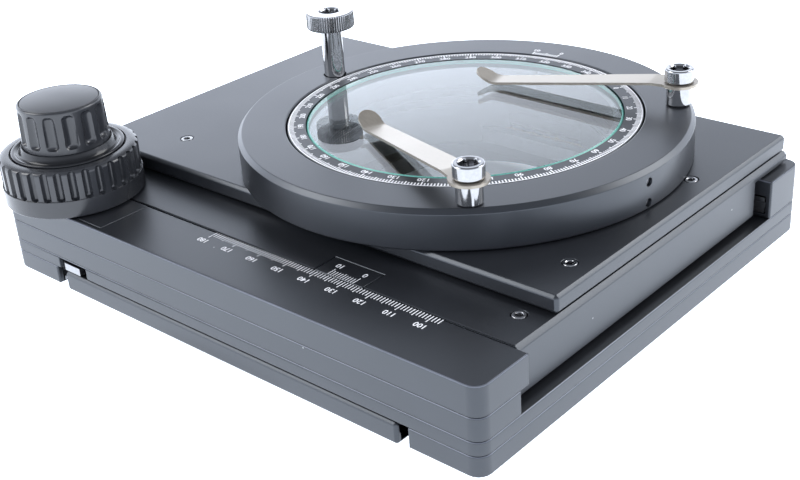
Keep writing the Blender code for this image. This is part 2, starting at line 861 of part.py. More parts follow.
def build_slide():
    body = bar_along_x("slide_plate", slide_section(), slide_left, slide_right, anodised)
    chamfer(body, slide_chamfer)
    for name, end, outward in (("left", slide_left, -1), ("right", slide_right, 1)):
        bevel = [
            (end - outward * slide_end_chamfer, deck), (end, deck - slide_end_chamfer),
            (end + outward * overrun, deck - slide_end_chamfer), (end + outward * overrun, deck + overrun),
            (end - outward * slide_end_chamfer, deck + overrun),
        ]
        rear = slide_rear + slide_flange_reach + overrun
        cut(body, bar_along_y(f"slide_{name}_bevel", bevel, slide_front - overrun, rear, None, cutter=True))
    cut(body, cylinders("slide_bore", [
        (ring_x, ring_y, slide_bore_radius, slide_bottom - overrun, deck + overrun)], bore_steps))
    vernier_room = box_outline(
        slide_right - vernier_from_right - vernier_length - seam, slide_right - vernier_from_right + seam,
        slide_front - overrun, slide_front + vernier_depth + seam,
    )
    cut(body, plate(
        "vernier_room", vernier_room, deck - vernier_thickness - seam, deck + overrun, None, cutter=True))
    rack_low = scale_block_bottom + gear_lift
    rack_seat = box_outline(
        slide_front - overrun, x_rack_line + dedendum_share * gear_module + x_rack_body + seam,
        rack_low - seam, rack_low + gear_thickness + seam,
    )
    cut(body, bar_along_x(
        "x_rack_seat", rack_seat, slide_left - overrun,
        x_rack_start() + x_rack_teeth * math.pi * gear_module + seam, None, cutter=True))
    tap_floor = top_plate_top - screw_length - seam
    taps = [(x, y, screw_shank_radius + seam, tap_floor, deck + overrun) for x, y in plate_screw_places()]
    heads = []
    for x, y in slide_screw_places():
        taps.append((x, y, screw_shank_radius + seam, deck - screw_length - seam, deck + overrun))
        heads.append((x, y, screw_head_radius + seam, deck - screw_head_height - seam, deck + overrun))
    cut(body, cylinders("slide_taps", taps, 8), cylinders("slide_screw_heads", heads, screw_steps))
    return body


def x_rack_start():
    """The left end of the slide's rack, placed so that a gap faces the idler at rest."""
    pitch = math.pi * gear_module
    return idler_x - math.floor((idler_x - slide_left - x_rack_left_inset) / pitch) * pitch


def build_x_rack():
    """The rack in the slide's front edge, its teeth facing the idler."""
    outline = [(x_rack_start() + x, x_rack_line + y) for x, y in rack_outline(x_rack_teeth, x_rack_body)]
    bottom = scale_block_bottom + gear_lift
    return plate("x_rack", outline, bottom, bottom + gear_thickness, ground_steel)


def build_vernier():
    outline = box_outline(
        slide_right - vernier_from_right - vernier_length, slide_right - vernier_from_right,
        slide_front, slide_front + vernier_depth,
    )
    return plate("vernier_plate", outline, deck - vernier_thickness, deck, engraved_plate)


def build_top_plate():
    outline = box_outline(top_plate_left, top_plate_right, top_plate_front, top_plate_rear)
    top = plate("top_plate", outline, top_plate_bottom, top_plate_top, anodised)
    chamfer(top, top_plate_chamfer)
    cut(top, cylinders("top_plate_bore", [
        (ring_x, ring_y, slide_bore_radius, top_plate_bottom - overrun, top_plate_top + overrun)],
        bore_steps))
    recess = dial_sleeve_radius() + retainer_overlap + 2 * seam
    recess_floor = top_plate_top - retainer_height - 2 * seam
    cut(top, cylinders("retainer_recess", [
        (ring_x, ring_y, recess, recess_floor, top_plate_top + overrun)], ring_steps))
    shanks = [
        (x, y, screw_shank_radius + seam, top_plate_bottom - overrun, top_plate_top + overrun)
        for x, y in plate_screw_places()
    ]
    heads = [
        (x, y, screw_head_radius + seam, top_plate_top - screw_head_height - seam, top_plate_top + overrun)
        for x, y in plate_screw_places()
    ]
    cut(top, cylinders("top_plate_shanks", shanks, 8), cylinders("top_plate_heads", heads, screw_steps))
    return top


def build_plate_screws():
    screws = []
    for index, (x, y) in enumerate(plate_screw_places(), 1):
        screws.append(socket_screw(
            f"top_plate_screw_{index}", x, y, top_plate_top, screw_head_radius, screw_head_height,
            screw_shank_radius, screw_length, chrome, screw_steps))
    for index, (x, y) in enumerate(slide_screw_places(), 1):
        screws.append(socket_screw(
            f"slide_screw_{index}", x, y, deck, screw_head_radius, screw_head_height,
            screw_shank_radius, screw_length, ground_steel, screw_steps))
    return screws


# Ring, dial and glass


def dial_sleeve_radius():
    """Outer radius of the dial's sleeve, which runs inside the ring's flange."""
    return dial_radius - ring_flange_width


def on_ring(radius, degrees):
    turn = math.radians(degrees)
    return ring_x + radius * math.cos(turn), ring_y + radius * math.sin(turn)


def build_ring():
    flange = ring_bore_radius - ring_flange_width
    profile = [
        (ring_bore_radius, ring_height), (ring_radius - ring_chamfer, ring_height),
        (ring_radius, ring_height - ring_chamfer), (ring_radius, 0), (flange, 0),
        (flange, ring_flange_height), (ring_bore_radius, ring_flange_height),
    ]
    ring = turned("ring_housing", profile, (ring_x, ring_y, ring_bottom), ring_steps, anodised)
    holes = [
        (*on_ring(post_circle_radius, angle), clip_screw_radius + seam,
         clip_head_bottom - clip_screw_depth - 2 * seam, ring_top + overrun)
        for angle in post_angles.values()
    ]
    clamp_x, clamp_y = on_ring(clamp_circle_radius, clamp_angle)
    recess_bottom = ring_top - clamp_recess_depth
    thread_bottom = recess_bottom - clamp_thread_length - seam
    cut(ring, cylinders("clip_screw_holes", holes, shaft_steps))
    cut(ring, cylinders("clamp_thread_hole", [
        (clamp_x, clamp_y, clamp_thread_radius + seam, thread_bottom, ring_top + overrun)], shaft_steps))
    cut(ring, cylinders("clamp_recess", [
        (clamp_x, clamp_y, clamp_shank_radius + seam, recess_bottom, ring_top + overrun)], 20))
    for name, height in set_screw_heights.items():
        cut(ring, radial_hole(f"set_screw_hole_{name}", height))
    return ring


def radial_matrix(height, reach):
    """Turns a shape that lies along +Z to lie outwards along the set screws' direction."""
    turn = Matrix.Rotation(math.radians(set_screw_angle), 4, "Z") @ Matrix.Rotation(math.pi / 2, 4, "Y")
    x, y = on_ring(reach, set_screw_angle)
    return Matrix.Translation((x, y, ring_bottom + height)) @ turn


def radial_cylinder(name, radius, inner, outer, height, material, cutter):
    shape = bmesh.new()
    bmesh.ops.create_cone(
        shape, cap_ends=True, segments=screw_steps, radius1=radius, radius2=radius, depth=outer - inner,
        matrix=radial_matrix(height, (inner + outer) / 2),
    )
    mesh = bpy.data.meshes.new(name)
    shape.to_mesh(mesh)
    shape.free()
    return mesh_object(name, mesh, material, cutter)


def radial_hole(name, height):
    inner = ring_radius - set_screw_length - 2 * seam
    return radial_cylinder(name, set_screw_radius + seam, inner, ring_radius + overrun, height, None, True)


def build_set_screws():
    return [
        radial_cylinder(
            f"set_screw_{name}", set_screw_radius, ring_radius - set_screw_length - seam,
            ring_radius - seam - set_screw_radius / 2, height, ground_steel, False)
        for name, height in set_screw_heights.items()
    ]


def build_dial():
    """The graduated ring, with a lip under the glass and a sleeve down through the ring's flange."""
    inner = glass_radius + seam
    lip = inner - dial_lip_width
    sleeve = dial_sleeve_radius()
    seat = dial_top - glass_thickness - seam
    shelf = ring_bottom + ring_flange_height + seam
    low = ring_bottom
    profile = [
        (inner, dial_top), (dial_radius, dial_top), (dial_radius, shelf), (sleeve, shelf),
        (sleeve, low), (lip, low), (lip, seat), (inner, seat),
    ]
    heights = [(radius, height - low) for radius, height in profile]
    return turned("dial_ring", heights, (ring_x, ring_y, low), ring_steps, engraved_plate)


def build_glass():
    edge = seam
    top = glass_thickness
    profile = [
        (0, top), (glass_radius - edge, top), (glass_radius, top - edge), (glass_radius, edge),
        (glass_radius - edge, 0), (0, 0),
    ]
    return turned("glass_disc", profile, (ring_x, ring_y, dial_top - top), ring_steps, clear_glass)


def build_retainer():
    """The ring under the flange that keeps the dial from lifting out."""
    inner = glass_radius + seam - dial_lip_width
    outer = dial_sleeve_radius() + retainer_overlap
    profile = [(inner, 0), (outer, 0), (outer, -retainer_height), (inner, -retainer_height)]
    return turned("dial_retainer", profile, (ring_x, ring_y, top_plate_top), ring_steps, brass)


# Clips and clamp


def clip_side():
    """The blade seen from the side, reach and height above its lowest point, along its lower face."""
    eye = clip_eye_bottom - post_bottom
    return [
        (-clip_eye_radius, eye), (clip_flat_reach, eye), (clip_reach, 0),
        (clip_reach + clip_tongue_reach, clip_tongue_rise),
    ]


def thickened(path, thickness):
    """A path given a thickness upwards, square to each run, as a closed outline."""
    upper = []
    for index, point in enumerate(path):
        before = Vector(path[max(index - 1, 0)])
        after = Vector(path[min(index + 1, len(path) - 1)])
        here = Vector(point)
        first = (here - before) if index else (after - here)
        second = (after - here) if index < len(path) - 1 else first
        normal = (first.normalized() + second.normalized()).normalized()
        spread = thickness / normal.dot(first.normalized())
        upper.append((here.x - normal.y * spread, here.y + normal.x * spread))
    return list(path) + upper[::-1]


def clip_plan():
    """The blade seen from above: a round eye, a tapering blade and a round tip."""
    reach = clip_reach + clip_tongue_reach
    tip = clip_tip_width / 2
    neck = clip_width / 2
    join_angle = math.asin(neck / clip_eye_radius)
    points = []
    eye_steps = 14
    for step in range(eye_steps + 1):
        turn = join_angle + (2 * math.pi - 2 * join_angle) * step / eye_steps
        points.append((clip_eye_radius * math.cos(turn), clip_eye_radius * math.sin(turn)))
    tip_steps = 8
    for step in range(tip_steps + 1):
        turn = -math.pi / 2 + math.pi * step / tip_steps
        points.append((reach - tip + tip * math.cos(turn), tip * math.sin(turn)))
    return points


def build_clip(name):
    """A spring clip: its side view across the whole width, cut to its plan."""
    x, y = on_ring(post_circle_radius, post_angles[name])
    width = clip_eye_radius + overrun
    mesh = flat_mesh(f"clip_{name}", thickened(clip_side(), clip_thickness), 2 * width)
    mesh.transform(Matrix.Translation((0, width, 0)) @ along_y)
    clip = mesh_object(f"clip_{name}", mesh, spring_steel)
    low = -overrun
    high = clip_eye_bottom - post_bottom + clip_thickness + overrun
    outline = flat_mesh(f"clip_{name}_plan", clip_plan(), high - low)
    outline.transform(Matrix.Translation((0, 0, low)))
    plan = mesh_object(f"clip_{name}_plan", outline, None, cutter=True)
    trim = clip.modifiers.new("trim", "BOOLEAN")
    trim.operation = "INTERSECT"
    trim.solver = "EXACT"
    trim.object = plan
    eye = cylinders(f"clip_{name}_eye", [(0, 0, clip_screw_radius + seam, low, high)], 14)
    cut(clip, eye)
    for made in (clip, plan, eye):
        made.location = (x, y, post_bottom)
        made.rotation_euler = (0, 0, math.radians(clip_angles[name]))
    return clip


def build_post(name):
    x, y = on_ring(post_circle_radius, post_angles[name])
    bore = clip_screw_radius + seam
    profile = [(bore, post_height), (post_radius, post_height), (post_radius, 0), (bore, 0)]
    return turned(f"clip_post_{name}", profile, (x, y, post_bottom), 16, chrome)


def build_clip_screw(name):
    x, y = on_ring(post_circle_radius, post_angles[name])
    top = clip_head_bottom + clip_head_height
    length = clip_head_height + clip_screw_depth
    return socket_screw(
        f"clip_screw_{name}", x, y, top, clip_head_radius, clip_head_height, clip_screw_radius,
        length, chrome, 16)


def build_clamp():
    """The tall knurled screw that locks the dial."""
    x, y = on_ring(clamp_circle_radius, clamp_angle)
    foot = ring_top - clamp_recess_depth + seam
    head_bottom = clamp_shank_length
    top = head_bottom + clamp_head_height
    edge = knurl_depth
    profile = [
        (0, top), (clamp_head_radius - edge, top), (clamp_head_radius, top - edge),
        (clamp_head_radius, head_bottom + edge), (clamp_head_radius - edge, head_bottom),
        (clamp_shank_radius, head_bottom), (clamp_shank_radius, 0),
        (clamp_thread_radius, 0), (clamp_thread_radius, -clamp_thread_length), (0, -clamp_thread_length),
    ]
    clamp = turned("clamp_screw", profile, (x, y, foot), knurl_count, chrome)
    cut(clamp, knurls(x, y, foot + head_bottom, clamp_head_height))
    socket = cylinders("clamp_socket", [
        (x, y, clamp_shank_radius, foot + top - clamp_head_height / 2, foot + top + overrun)], 6)
    cut(clamp, socket)
    return clamp


def knurls(x, y, bottom, height):
    """A cutter of three sided grooves round the clamp's head."""
    shape = bmesh.new()
    middle_z = bottom + height / 2
    places = circle_points(x, y, clamp_head_radius, knurl_count, math.pi / knurl_count)
    for index, (knurl_x, knurl_y) in enumerate(places):
        turn = Matrix.Rotation(2 * math.pi * (index + 0.5) / knurl_count, 4, "Z")
        bmesh.ops.create_cone(
            shape, cap_ends=True, segments=4, radius1=knurl_depth, radius2=knurl_depth,
            depth=height + 2 * overrun, matrix=Matrix.Translation((knurl_x, knurl_y, middle_z)) @ turn,
        )
    mesh = bpy.data.meshes.new("clamp_knurls")
    shape.to_mesh(mesh)
    shape.free()
    return mesh_object("clamp_knurls", mesh, None, cutter=True)


# Knobs


def sleeve_radius():
    return shaft_radius + shaft_clearance + sleeve_wall


def rounded_edge(inner, outer, low, high):
    """A quarter of an ellipse from the top inner point down to the outer one."""
    edge = []
    for step in range(edge_steps + 1):
        turn = math.pi / 2 * (1 - step / edge_steps)
        edge.append((inner + (outer - inner) * math.cos(turn), low + (high - low) * math.sin(turn)))
    return edge


def build_coarse_knob():
    """The wide knob: a plain band, a ribbed grip and a rounded shoulder round the disc's seat."""
    bottom = knob_bottom
    bore = sleeve_radius() + seam
    seat = disc_radius + seam
    top = coarse_height
    skirt = band_radius - coarse_wall
    profile = rounded_edge(seat, grip_radius, top - coarse_shoulder, top) + [
        (grip_radius, band_height), (band_radius, band_height - seam), (band_radius, 0),
        (skirt, 0), (skirt, coarse_skirt_depth),
        (coarse_hub_radius, coarse_skirt_depth), (coarse_hub_radius, seam), (bore, seam),
        (bore, top - disc_seat_depth), (seat, top - disc_seat_depth),
    ]
    knob = turned("coarse_knob", profile, (knob_x, knob_y, bottom), groove_count, ribbed_plastic)
    low = bottom + band_height + seam
    grooves = [
        (x, y, groove_radius, low, bottom + top + overrun)
        for x, y in circle_points(knob_x, knob_y, grip_radius, groove_count)
    ]
    cut(knob, cylinders("coarse_grooves", grooves, 6))
    return knob


def build_disc():
    """The glossy disc set in the top of the wide knob, with a hollow between its middle and its lip."""
    bore = sleeve_radius() + seam
    top = disc_thickness
    profile = [
        (bore, top), (fine_bottom_radius + seam, top), (disc_groove_radius, top - disc_groove_depth),
        (disc_radius - disc_lip_width, top), (disc_radius, top - disc_rim_drop), (disc_radius, 0),
        (bore, 0),
    ]
    return turned("knob_disc", profile, (knob_x, knob_y, disc_bottom), knob_steps, gloss_plastic)


def build_fine_knob():
    """The narrow knob: a tapered grip with flutes, a flange below and a seat for the cap."""
    seat = cap_radius + seam
    bore = shaft_radius + seam
    top = fine_height
    blind = top - cap_seat_depth - cap_floor
    profile = [(0, top - cap_seat_depth), (seat, top - cap_seat_depth), (seat, top)]
    profile += rounded_edge(fine_top_radius - fine_edge, fine_top_radius, top - fine_edge, top)
    profile += [
        (fine_bottom_radius, fine_flange_height), (fine_bottom_radius, seam),
        (fine_bottom_radius - seam, 0), (bore, 0), (bore, blind), (0, blind),
    ]
    knob = turned("fine_knob", profile, (knob_x, knob_y, fine_bottom), 2 * flute_count, ribbed_plastic)
    middle = fine_bottom_radius + flute_radius - flute_bite
    flutes = [
        (x, y, flute_radius, fine_bottom + fine_flange_height, fine_bottom + top - flute_top_margin)
        for x, y in circle_points(knob_x, knob_y, middle, flute_count)
    ]
    cut(knob, cylinders("fine_flutes", flutes, 6))
    return knob


def build_cap():
    """The domed cap in the top of the narrow knob."""
    bottom = fine_bottom + fine_height - cap_seat_depth + seam
    rim = cap_seat_depth - seam
    profile = [(cap_radius * share, rim + cap_dome * (1 - share * share)) for share in dome_shares]
    profile += [(cap_radius, 0), (0, 0)]
    return turned("knob_cap", profile, (knob_x, knob_y, bottom), knob_steps, gloss_plastic)


def build_sleeve():
    """The hollow shaft from the wide knob down to the first pinion."""
    bottom = scale_block_bottom + seam
    top = disc_bottom - 2 * seam
    inner = shaft_radius + shaft_clearance
    outer = sleeve_radius()
    height = top - bottom
    profile = [(inner, height), (outer, height), (outer, 0), (inner, 0)]
    return turned("coarse_sleeve", profile, (knob_x, knob_y, bottom), shaft_steps, ground_steel)


def build_shaft():
    """The solid shaft from the narrow knob down to the lower pinion."""
    bottom = web_bottom + seam
    top = fine_bottom + fine_height - cap_seat_depth - cap_floor - seam
    height = top - bottom
    edge = seam
    profile = [
        (0, height), (shaft_radius - edge, height), (shaft_radius, height - edge),
        (shaft_radius, 0), (0, 0),
    ]
    return turned("fine_shaft", profile, (knob_x, knob_y, bottom), shaft_steps, ground_steel)


def build_gears():
    low = scale_block_bottom + gear_lift
    toward_rack = math.pi / 2
    toward_idler = math.pi * (x_idler_teeth / 2 + 1) / x_pinion_teeth
    x_pinion = gear(
        "x_pinion", x_pinion_teeth, knob_x, knob_y, low, gear_thickness, sleeve_radius() + seam, brass,
        toward_idler)
    idler = gear(
        "x_idler_gear", x_idler_teeth, idler_x, knob_y, low, gear_thickness,
        idler_pin_radius + shaft_clearance, brass, toward_rack)
    y_pinion = gear(
        "y_pinion", y_gear_teeth, knob_x, knob_y, web_bottom + seam / 2, y_gear_thickness,
        shaft_radius + seam, brass)
    return x_pinion, idler, y_pinion


# The whole stage
base_plate = build_base()
web_plate = build_web()
left_block = outer_block(
    "left_block", frame_left, frame_left + side_block_width, frame_front, frame_rear, foot_drop,
    foot_drop + side_block_height, ("fl", "rl"))
right_block = outer_block(
    "right_block", frame_right - side_block_width, frame_right, frame_front, frame_rear, foot_drop,
    foot_drop + side_block_height, ("fr", "rr"))
front_rail_block = build_front_rail_block()
rear_block = outer_block(
    "rear_block", frame_left, frame_right, rear_block_front, frame_rear, rail_block_bottom,
    rail_block_bottom + rear_block_height, ("rr", "rl"))
slide_plate = build_slide()
base_rail_left, frame_rail_left, y_cage_left = y_guide(-1, base_plate, left_block)
base_rail_right, frame_rail_right, y_cage_right = y_guide(1, base_plate, right_block)
slide_rail_front, frame_rail_front, x_cage_front = x_guide(-1, slide_plate, front_rail_block)
slide_rail_rear, frame_rail_rear, x_cage_rear = x_guide(1, slide_plate, rear_block)
x_pinion, x_idler_gear, y_pinion = build_gears()

knob_place = (knob_x, knob_y, deck)
idler_place = (idler_x, knob_y, deck)
ring_place = (ring_x, ring_y, ring_top)
carry("base", (0, 0, 0), base_plate, base_rail_left, base_rail_right, build_y_rack())
carry("y_cages", (0, 0, y_guide_z), y_cage_left, y_cage_right)
carry(
    "frame", (0, 0, web_top), web_plate, left_block, right_block, front_rail_block, rear_block,
    build_scale_block(), build_drive_cover(), build_bush(), build_idler_pin(), frame_rail_left,
    frame_rail_right, frame_rail_front, frame_rail_rear)
carry("x_cages", (0, 0, x_guide_z), x_cage_front, x_cage_rear)
carry(
    "slide", (0, 0, deck), slide_plate, slide_rail_front, slide_rail_rear, build_x_rack(),
    build_vernier(), build_top_plate(), build_ring(), build_post("front"), build_post("rear"),
    build_clip_screw("front"), build_clip_screw("rear"), *build_plate_screws(), *build_set_screws())
carry("dial", ring_place, build_dial(), build_glass(), build_retainer())
carry("front_clip", (*on_ring(post_circle_radius, post_angles["front"]), ring_top), build_clip("front"))
carry("rear_clip", (*on_ring(post_circle_radius, post_angles["rear"]), ring_top), build_clip("rear"))
carry("clamp", (*on_ring(clamp_circle_radius, clamp_angle), ring_top), build_clamp())
carry("coarse", knob_place, build_coarse_knob(), build_disc(), build_sleeve(), x_pinion)
carry("fine", knob_place, build_fine_knob(), build_cap(), build_shaft(), y_pinion)
carry("idler", idler_place, x_idler_gear)
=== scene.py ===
import math

import bmesh
import bpy
import numpy as np
from mathutils import Matrix, Vector


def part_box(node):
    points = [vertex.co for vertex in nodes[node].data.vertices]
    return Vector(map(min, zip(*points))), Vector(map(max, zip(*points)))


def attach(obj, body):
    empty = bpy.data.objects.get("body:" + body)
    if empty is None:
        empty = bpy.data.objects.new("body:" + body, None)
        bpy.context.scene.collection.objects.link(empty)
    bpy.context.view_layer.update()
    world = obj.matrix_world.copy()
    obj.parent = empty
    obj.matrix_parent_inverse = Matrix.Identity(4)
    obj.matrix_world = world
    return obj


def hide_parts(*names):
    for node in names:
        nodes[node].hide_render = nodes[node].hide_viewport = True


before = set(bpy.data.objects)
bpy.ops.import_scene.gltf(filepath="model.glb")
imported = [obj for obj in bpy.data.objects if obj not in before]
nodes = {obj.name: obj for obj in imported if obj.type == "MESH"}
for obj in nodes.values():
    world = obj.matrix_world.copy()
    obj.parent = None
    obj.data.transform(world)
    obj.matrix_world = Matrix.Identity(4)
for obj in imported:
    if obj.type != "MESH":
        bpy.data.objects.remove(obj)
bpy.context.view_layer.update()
mm = 0.001
print("frame loaded:", len(nodes), "nodes")


# Shader maths: wraps a socket so that plain expressions add Math nodes
class Value:
    def __init__(self, tree, socket):
        self.tree = tree
        self.socket = socket

    def joined(self, operation, first, second):
        node = self.tree.nodes.new("ShaderNodeMath")
        node.operation = operation
        for slot, part in zip(node.inputs, (first, second)):
            if isinstance(part, Value):
                self.tree.links.new(part.socket, slot)
            else:
                slot.default_value = part
        return Value(self.tree, node.outputs[0])

    def __add__(self, other):
        return self.joined("ADD", self, other)

    __radd__ = __add__

    def __sub__(self, other):
        return self.joined("SUBTRACT", self, other)

    def __rsub__(self, other):
        return self.joined("SUBTRACT", other, self)

    def __mul__(self, other):
        return self.joined("MULTIPLY", self, other)

    __rmul__ = __mul__

    def __gt__(self, other):
        return self.joined("GREATER_THAN", self, other)

    def __lt__(self, other):
        return self.joined("LESS_THAN", self, other)


class Shading:
    # a tree of shader nodes, for a material or the sky; node() adds every node that isn't maths
    def __init__(self, tree):
        self.tree = tree

    def node(self, kind, settings=None, sockets=None, out=0):
        made = self.tree.nodes.new("ShaderNode" + kind)
        for setting, choice in (settings or {}).items():
            if setting == "stops":
                self.placeStops(made.color_ramp.elements, choice)
            else:
                setattr(made, setting, choice)
        for socket, part in (sockets or {}).items():
            if isinstance(part, Value):
                self.tree.links.new(part.socket, made.inputs[socket])
            else:
                made.inputs[socket].default_value = part
        return Value(self.tree, made.outputs[out])

    def placeStops(self, elements, stops):
        # stops are (position, colour)
        while len(elements) < len(stops):
            elements.new(0.5)
        for element, (position, colour) in zip(elements, stops):
            element.position = position
            element.color = (*colour, 1)

    def spread(self, value, low, high, floor=0.0, ceiling=1.0):
        # maps low..high to floor..ceiling and stops there
        return self.node("MapRange", {"clamp": True}, {
            "Value": value, "From Min": low, "From Max": high, "To Min": floor, "To Max": ceiling})


class Finish(Shading):
    # one Principled material; feed() links what varies over the surface to the shader
    def __init__(self, name, colour, **fixed):
        self.material = bpy.data.materials.new(name)
        self.material.use_nodes = True
        super().__init__(self.material.node_tree)
        self.shader = self.tree.nodes["Principled BSDF"]
        self.shader.inputs["Base Color"].default_value = (*colour, 1)
        for socket, number in fixed.items():
            self.shader.inputs[socket.replace("_", " ")].default_value = number
        self.place = self.node("TexCoord", out="Object")

    def noise(self, scale, detail=2.0, roughness=0.5, stretch=(1, 1, 1)):
        place = self.node("Mapping", {}, {"Vector": self.place, "Scale": stretch})
        return self.node("TexNoise", {}, {
            "Vector": place, "Scale": scale, "Detail": detail, "Roughness": roughness})

    def blendColour(self, mask, first, second):
        # mask 0 gives the first colour and 1 the second
        return self.node("Mix", {"data_type": "RGBA"}, {
            0: mask, 6: first if isinstance(first, Value) else (*first, 1),
            7: second if isinstance(second, Value) else (*second, 1)}, out=2)

    def feed(self, socket, value):
        self.tree.links.new(value.socket, self.shader.inputs[socket])

    def bump(self, height, distance, strength):
        self.feed("Normal", self.node("Bump", {}, {
            "Height": height, "Distance": distance, "Strength": strength}))


# Finishes
anodising = {
    "black": (0.007, 0.0075, 0.009), "worn": (0.014, 0.015, 0.018), "wornBand": (0.35, 0.75),
    "sheen": 0.72, "sheenTint": (0.86, 0.92, 1.0, 1.0), "cloud": 28, "cloudGloss": 0.10,
    "grain": 2600, "grainGloss": 0.05, "grainHeight": 0.003 * mm, "grainStrength": 0.6,
    "dust": (0.30, 0.30, 0.30), "dustCells": 130, "dustSize": 0.035, "dustPick": 0.86,
    "dustStrength": 0.75,
}


def toned(colour, tone):
    return tuple(tone * part for part in colour)


def anodised(name, roughness, dusty=True, tone=1.0):
    # black that clouds over to a worn tone, with a fine grain; a few cells hold a speck of dust
    look = anodising
    black, worn = toned(look["black"], tone), toned(look["worn"], tone)
    made = Finish(name, black, Roughness=roughness, Specular_IOR_Level=look["sheen"],
                  Specular_Tint=look["sheenTint"])
    cloud = made.noise(look["cloud"], 3)
    grain = made.noise(look["grain"], 1)
    colour = made.blendColour(made.spread(cloud, *look["wornBand"]), black, worn)
    swing = look["cloudGloss"] * (cloud - 0.5) + look["grainGloss"] * grain
    made.feed("Roughness", roughness + swing)
    if dusty:
        cells = {"Vector": made.place, "Scale": look["dustCells"]}
        near = made.node("TexVoronoi", {"feature": "F1"}, cells)
        pick = made.node("TexVoronoi", {"feature": "F1"}, cells, out="Color")
        chosen = made.node("SeparateColor", {}, {0: pick}) > look["dustPick"]
        speck = (near < look["dustSize"]) * chosen
        colour = made.blendColour(speck * look["dustStrength"], colour, look["dust"])
    made.feed("Base Color", colour)
    made.bump(grain, look["grainHeight"], look["grainStrength"])
    return made.material


metals = {
    "cloud": 60, "cloudGloss": 0.5, "shade": 0.86, "shadeBand": (0.3, 0.7), "reliefStrength": 0.5,
}


def metal(name, colour, roughness, haze=0.04, scale=900, stretch=(1, 1, 1), relief=0.002 * mm,
          metallic=1.0):
    # polished or ground metal: fine scratches and wide clouds swing the roughness by its haze
    made = Finish(name, colour, Metallic=metallic, Roughness=roughness)
    scratch = made.noise(scale, 3, 0.6, stretch)
    cloud = made.noise(metals["cloud"], 2)
    swing = haze * (scratch - 0.5) + haze * metals["cloudGloss"] * cloud
    made.feed("Roughness", roughness + swing)
    streaks = made.spread(scratch, *metals["shadeBand"])
    made.feed("Base Color", made.blendColour(streaks, toned(colour, metals["shade"]), colour))
    made.bump(scratch, relief, metals["reliefStrength"])
    return made.material


plastics = {
    "grain": 3200, "grainStrength": 0.7, "cloud": 70, "cloudGloss": 0.10, "cloudMiddle": 0.4,
    "pale": 1.35, "paleBand": (0.35, 0.7),
}


def moulded(name, colour, roughness, grainHeight, sheen):
    # moulded plastic: fine spark grain and slightly uneven gloss
    made = Finish(name, colour, Roughness=roughness, Specular_IOR_Level=sheen)
    grain = made.noise(plastics["grain"], 1)
    cloud = made.noise(plastics["cloud"], 3)
    mask = made.spread(cloud, *plastics["paleBand"])
    made.feed("Base Color", made.blendColour(mask, colour, toned(colour, plastics["pale"])))
    made.feed("Roughness", roughness + plastics["cloudGloss"] * (cloud - plastics["cloudMiddle"]))
    made.bump(grain, grainHeight, plastics["grainStrength"])
    return made.material


glassLook = {
    "clear": (0.93, 0.98, 0.975), "clearTones": ((0.92, 0.975, 0.97), (0.94, 0.985, 0.98)),
    "edge": (0.13, 0.62, 0.50), "edgeTones": ((0.10, 0.52, 0.42), (0.26, 0.78, 0.66)),
    "film": 18, "grain": 1400, "edgeRoughness": 0.35, "edgeClearness": 0.35, "bending": 1.5,
}


def clearGlass():
    # clear right through, with a faint uneven film
    made = Finish("clearGlass", glassLook["clear"], Roughness=0.0, IOR=glassLook["bending"],
                  Transmission_Weight=1.0)
    film = made.noise(glassLook["film"], 2)
    made.feed("Base Color", made.blendColour(film, *glassLook["clearTones"]))
    return made.material


def groundEdge():
    # the ground rim of the glass, where its green shows
    made = Finish("groundGlassEdge", glassLook["edge"], Roughness=glassLook["edgeRoughness"],
                  Transmission_Weight=glassLook["edgeClearness"], IOR=glassLook["bending"])
    grain = made.noise(glassLook["grain"], 2)
    made.feed("Base Color", made.blendColour(grain, *glassLook["edgeTones"]))
    return made.material


inkLook = {
    "white": (0.80, 0.80, 0.80), "tones": ((0.78, 0.78, 0.80), (0.95, 0.95, 0.96)),
    "wear": 700, "wearBand": (0.35, 0.7), "roughness": 0.55,
}


def whiteInk():
    # the filling of the engraved marks, a little greyer where it is worn
    made = Finish("engravingWhite", inkLook["white"], Roughness=inkLook["roughness"])
    wear = made.spread(made.noise(inkLook["wear"], 2), *inkLook["wearBand"])
    made.feed("Base Color", made.blendColour(wear, *inkLook["tones"]))
    return made.material


finishes = {
    "plate": anodised("blackAnodised", 0.34),
    "housing": anodised("blackAnodisedHousing", 0.32, tone=1.05),
    "scale": anodised("scalePlateBlack", 0.34),
    "dial": anodised("dialBlack", 0.40, dusty=False, tone=0.7),
    # the much paler tone below is a painted highlight for the frame's upward-leaning edge bevels
    "edge": anodised("paintedEdgeHighlight", 0.34, dusty=False, tone=11),
    "steel": metal("groundSteel", (0.36, 0.36, 0.37), 0.28, 0.10, 1200),
    "rail": metal("railSteel", (0.34, 0.345, 0.36), 0.30, 0.10, 900, (1, 1, 0.1)),
    "chrome": metal("polishedChrome", (0.37, 0.372, 0.38), 0.07, 0.03, relief=0.0002 * mm),
    "spring": metal("springSteel", (0.36, 0.325, 0.275), 0.30, 0.12, 500, (1, 4, 1),
                    0.001 * mm, 0.7),
    "brass": metal("machinedBrass", (0.40, 0.29, 0.13), 0.26, 0.10, 700),
    "knob": moulded("knobPlastic", (0.020, 0.021, 0.024), 0.22, 0.004 * mm, 0.54),
    "cap": moulded("satinPlastic", (0.014, 0.0148, 0.017), 0.36, 0.002 * mm, 0.50),
    "gloss": moulded("glossPlastic", (0.008, 0.0085, 0.010), 0.16, 0.001 * mm, 0.30),
    "glass": clearGlass(),
    "glassEdge": groundEdge(),
    "ink": whiteInk(),
}
print("finishes made:", len(finishes))


# Shapes
supportShare = 0.12  # flats keep their own shading up to this share of the radius before an arc
mergeWithin = 0.0005 * mm
touch = 0.01 * mm  # how near a point lies to a wall that it is on
overrun = 2 * mm  # how far a cutter goes past the surface


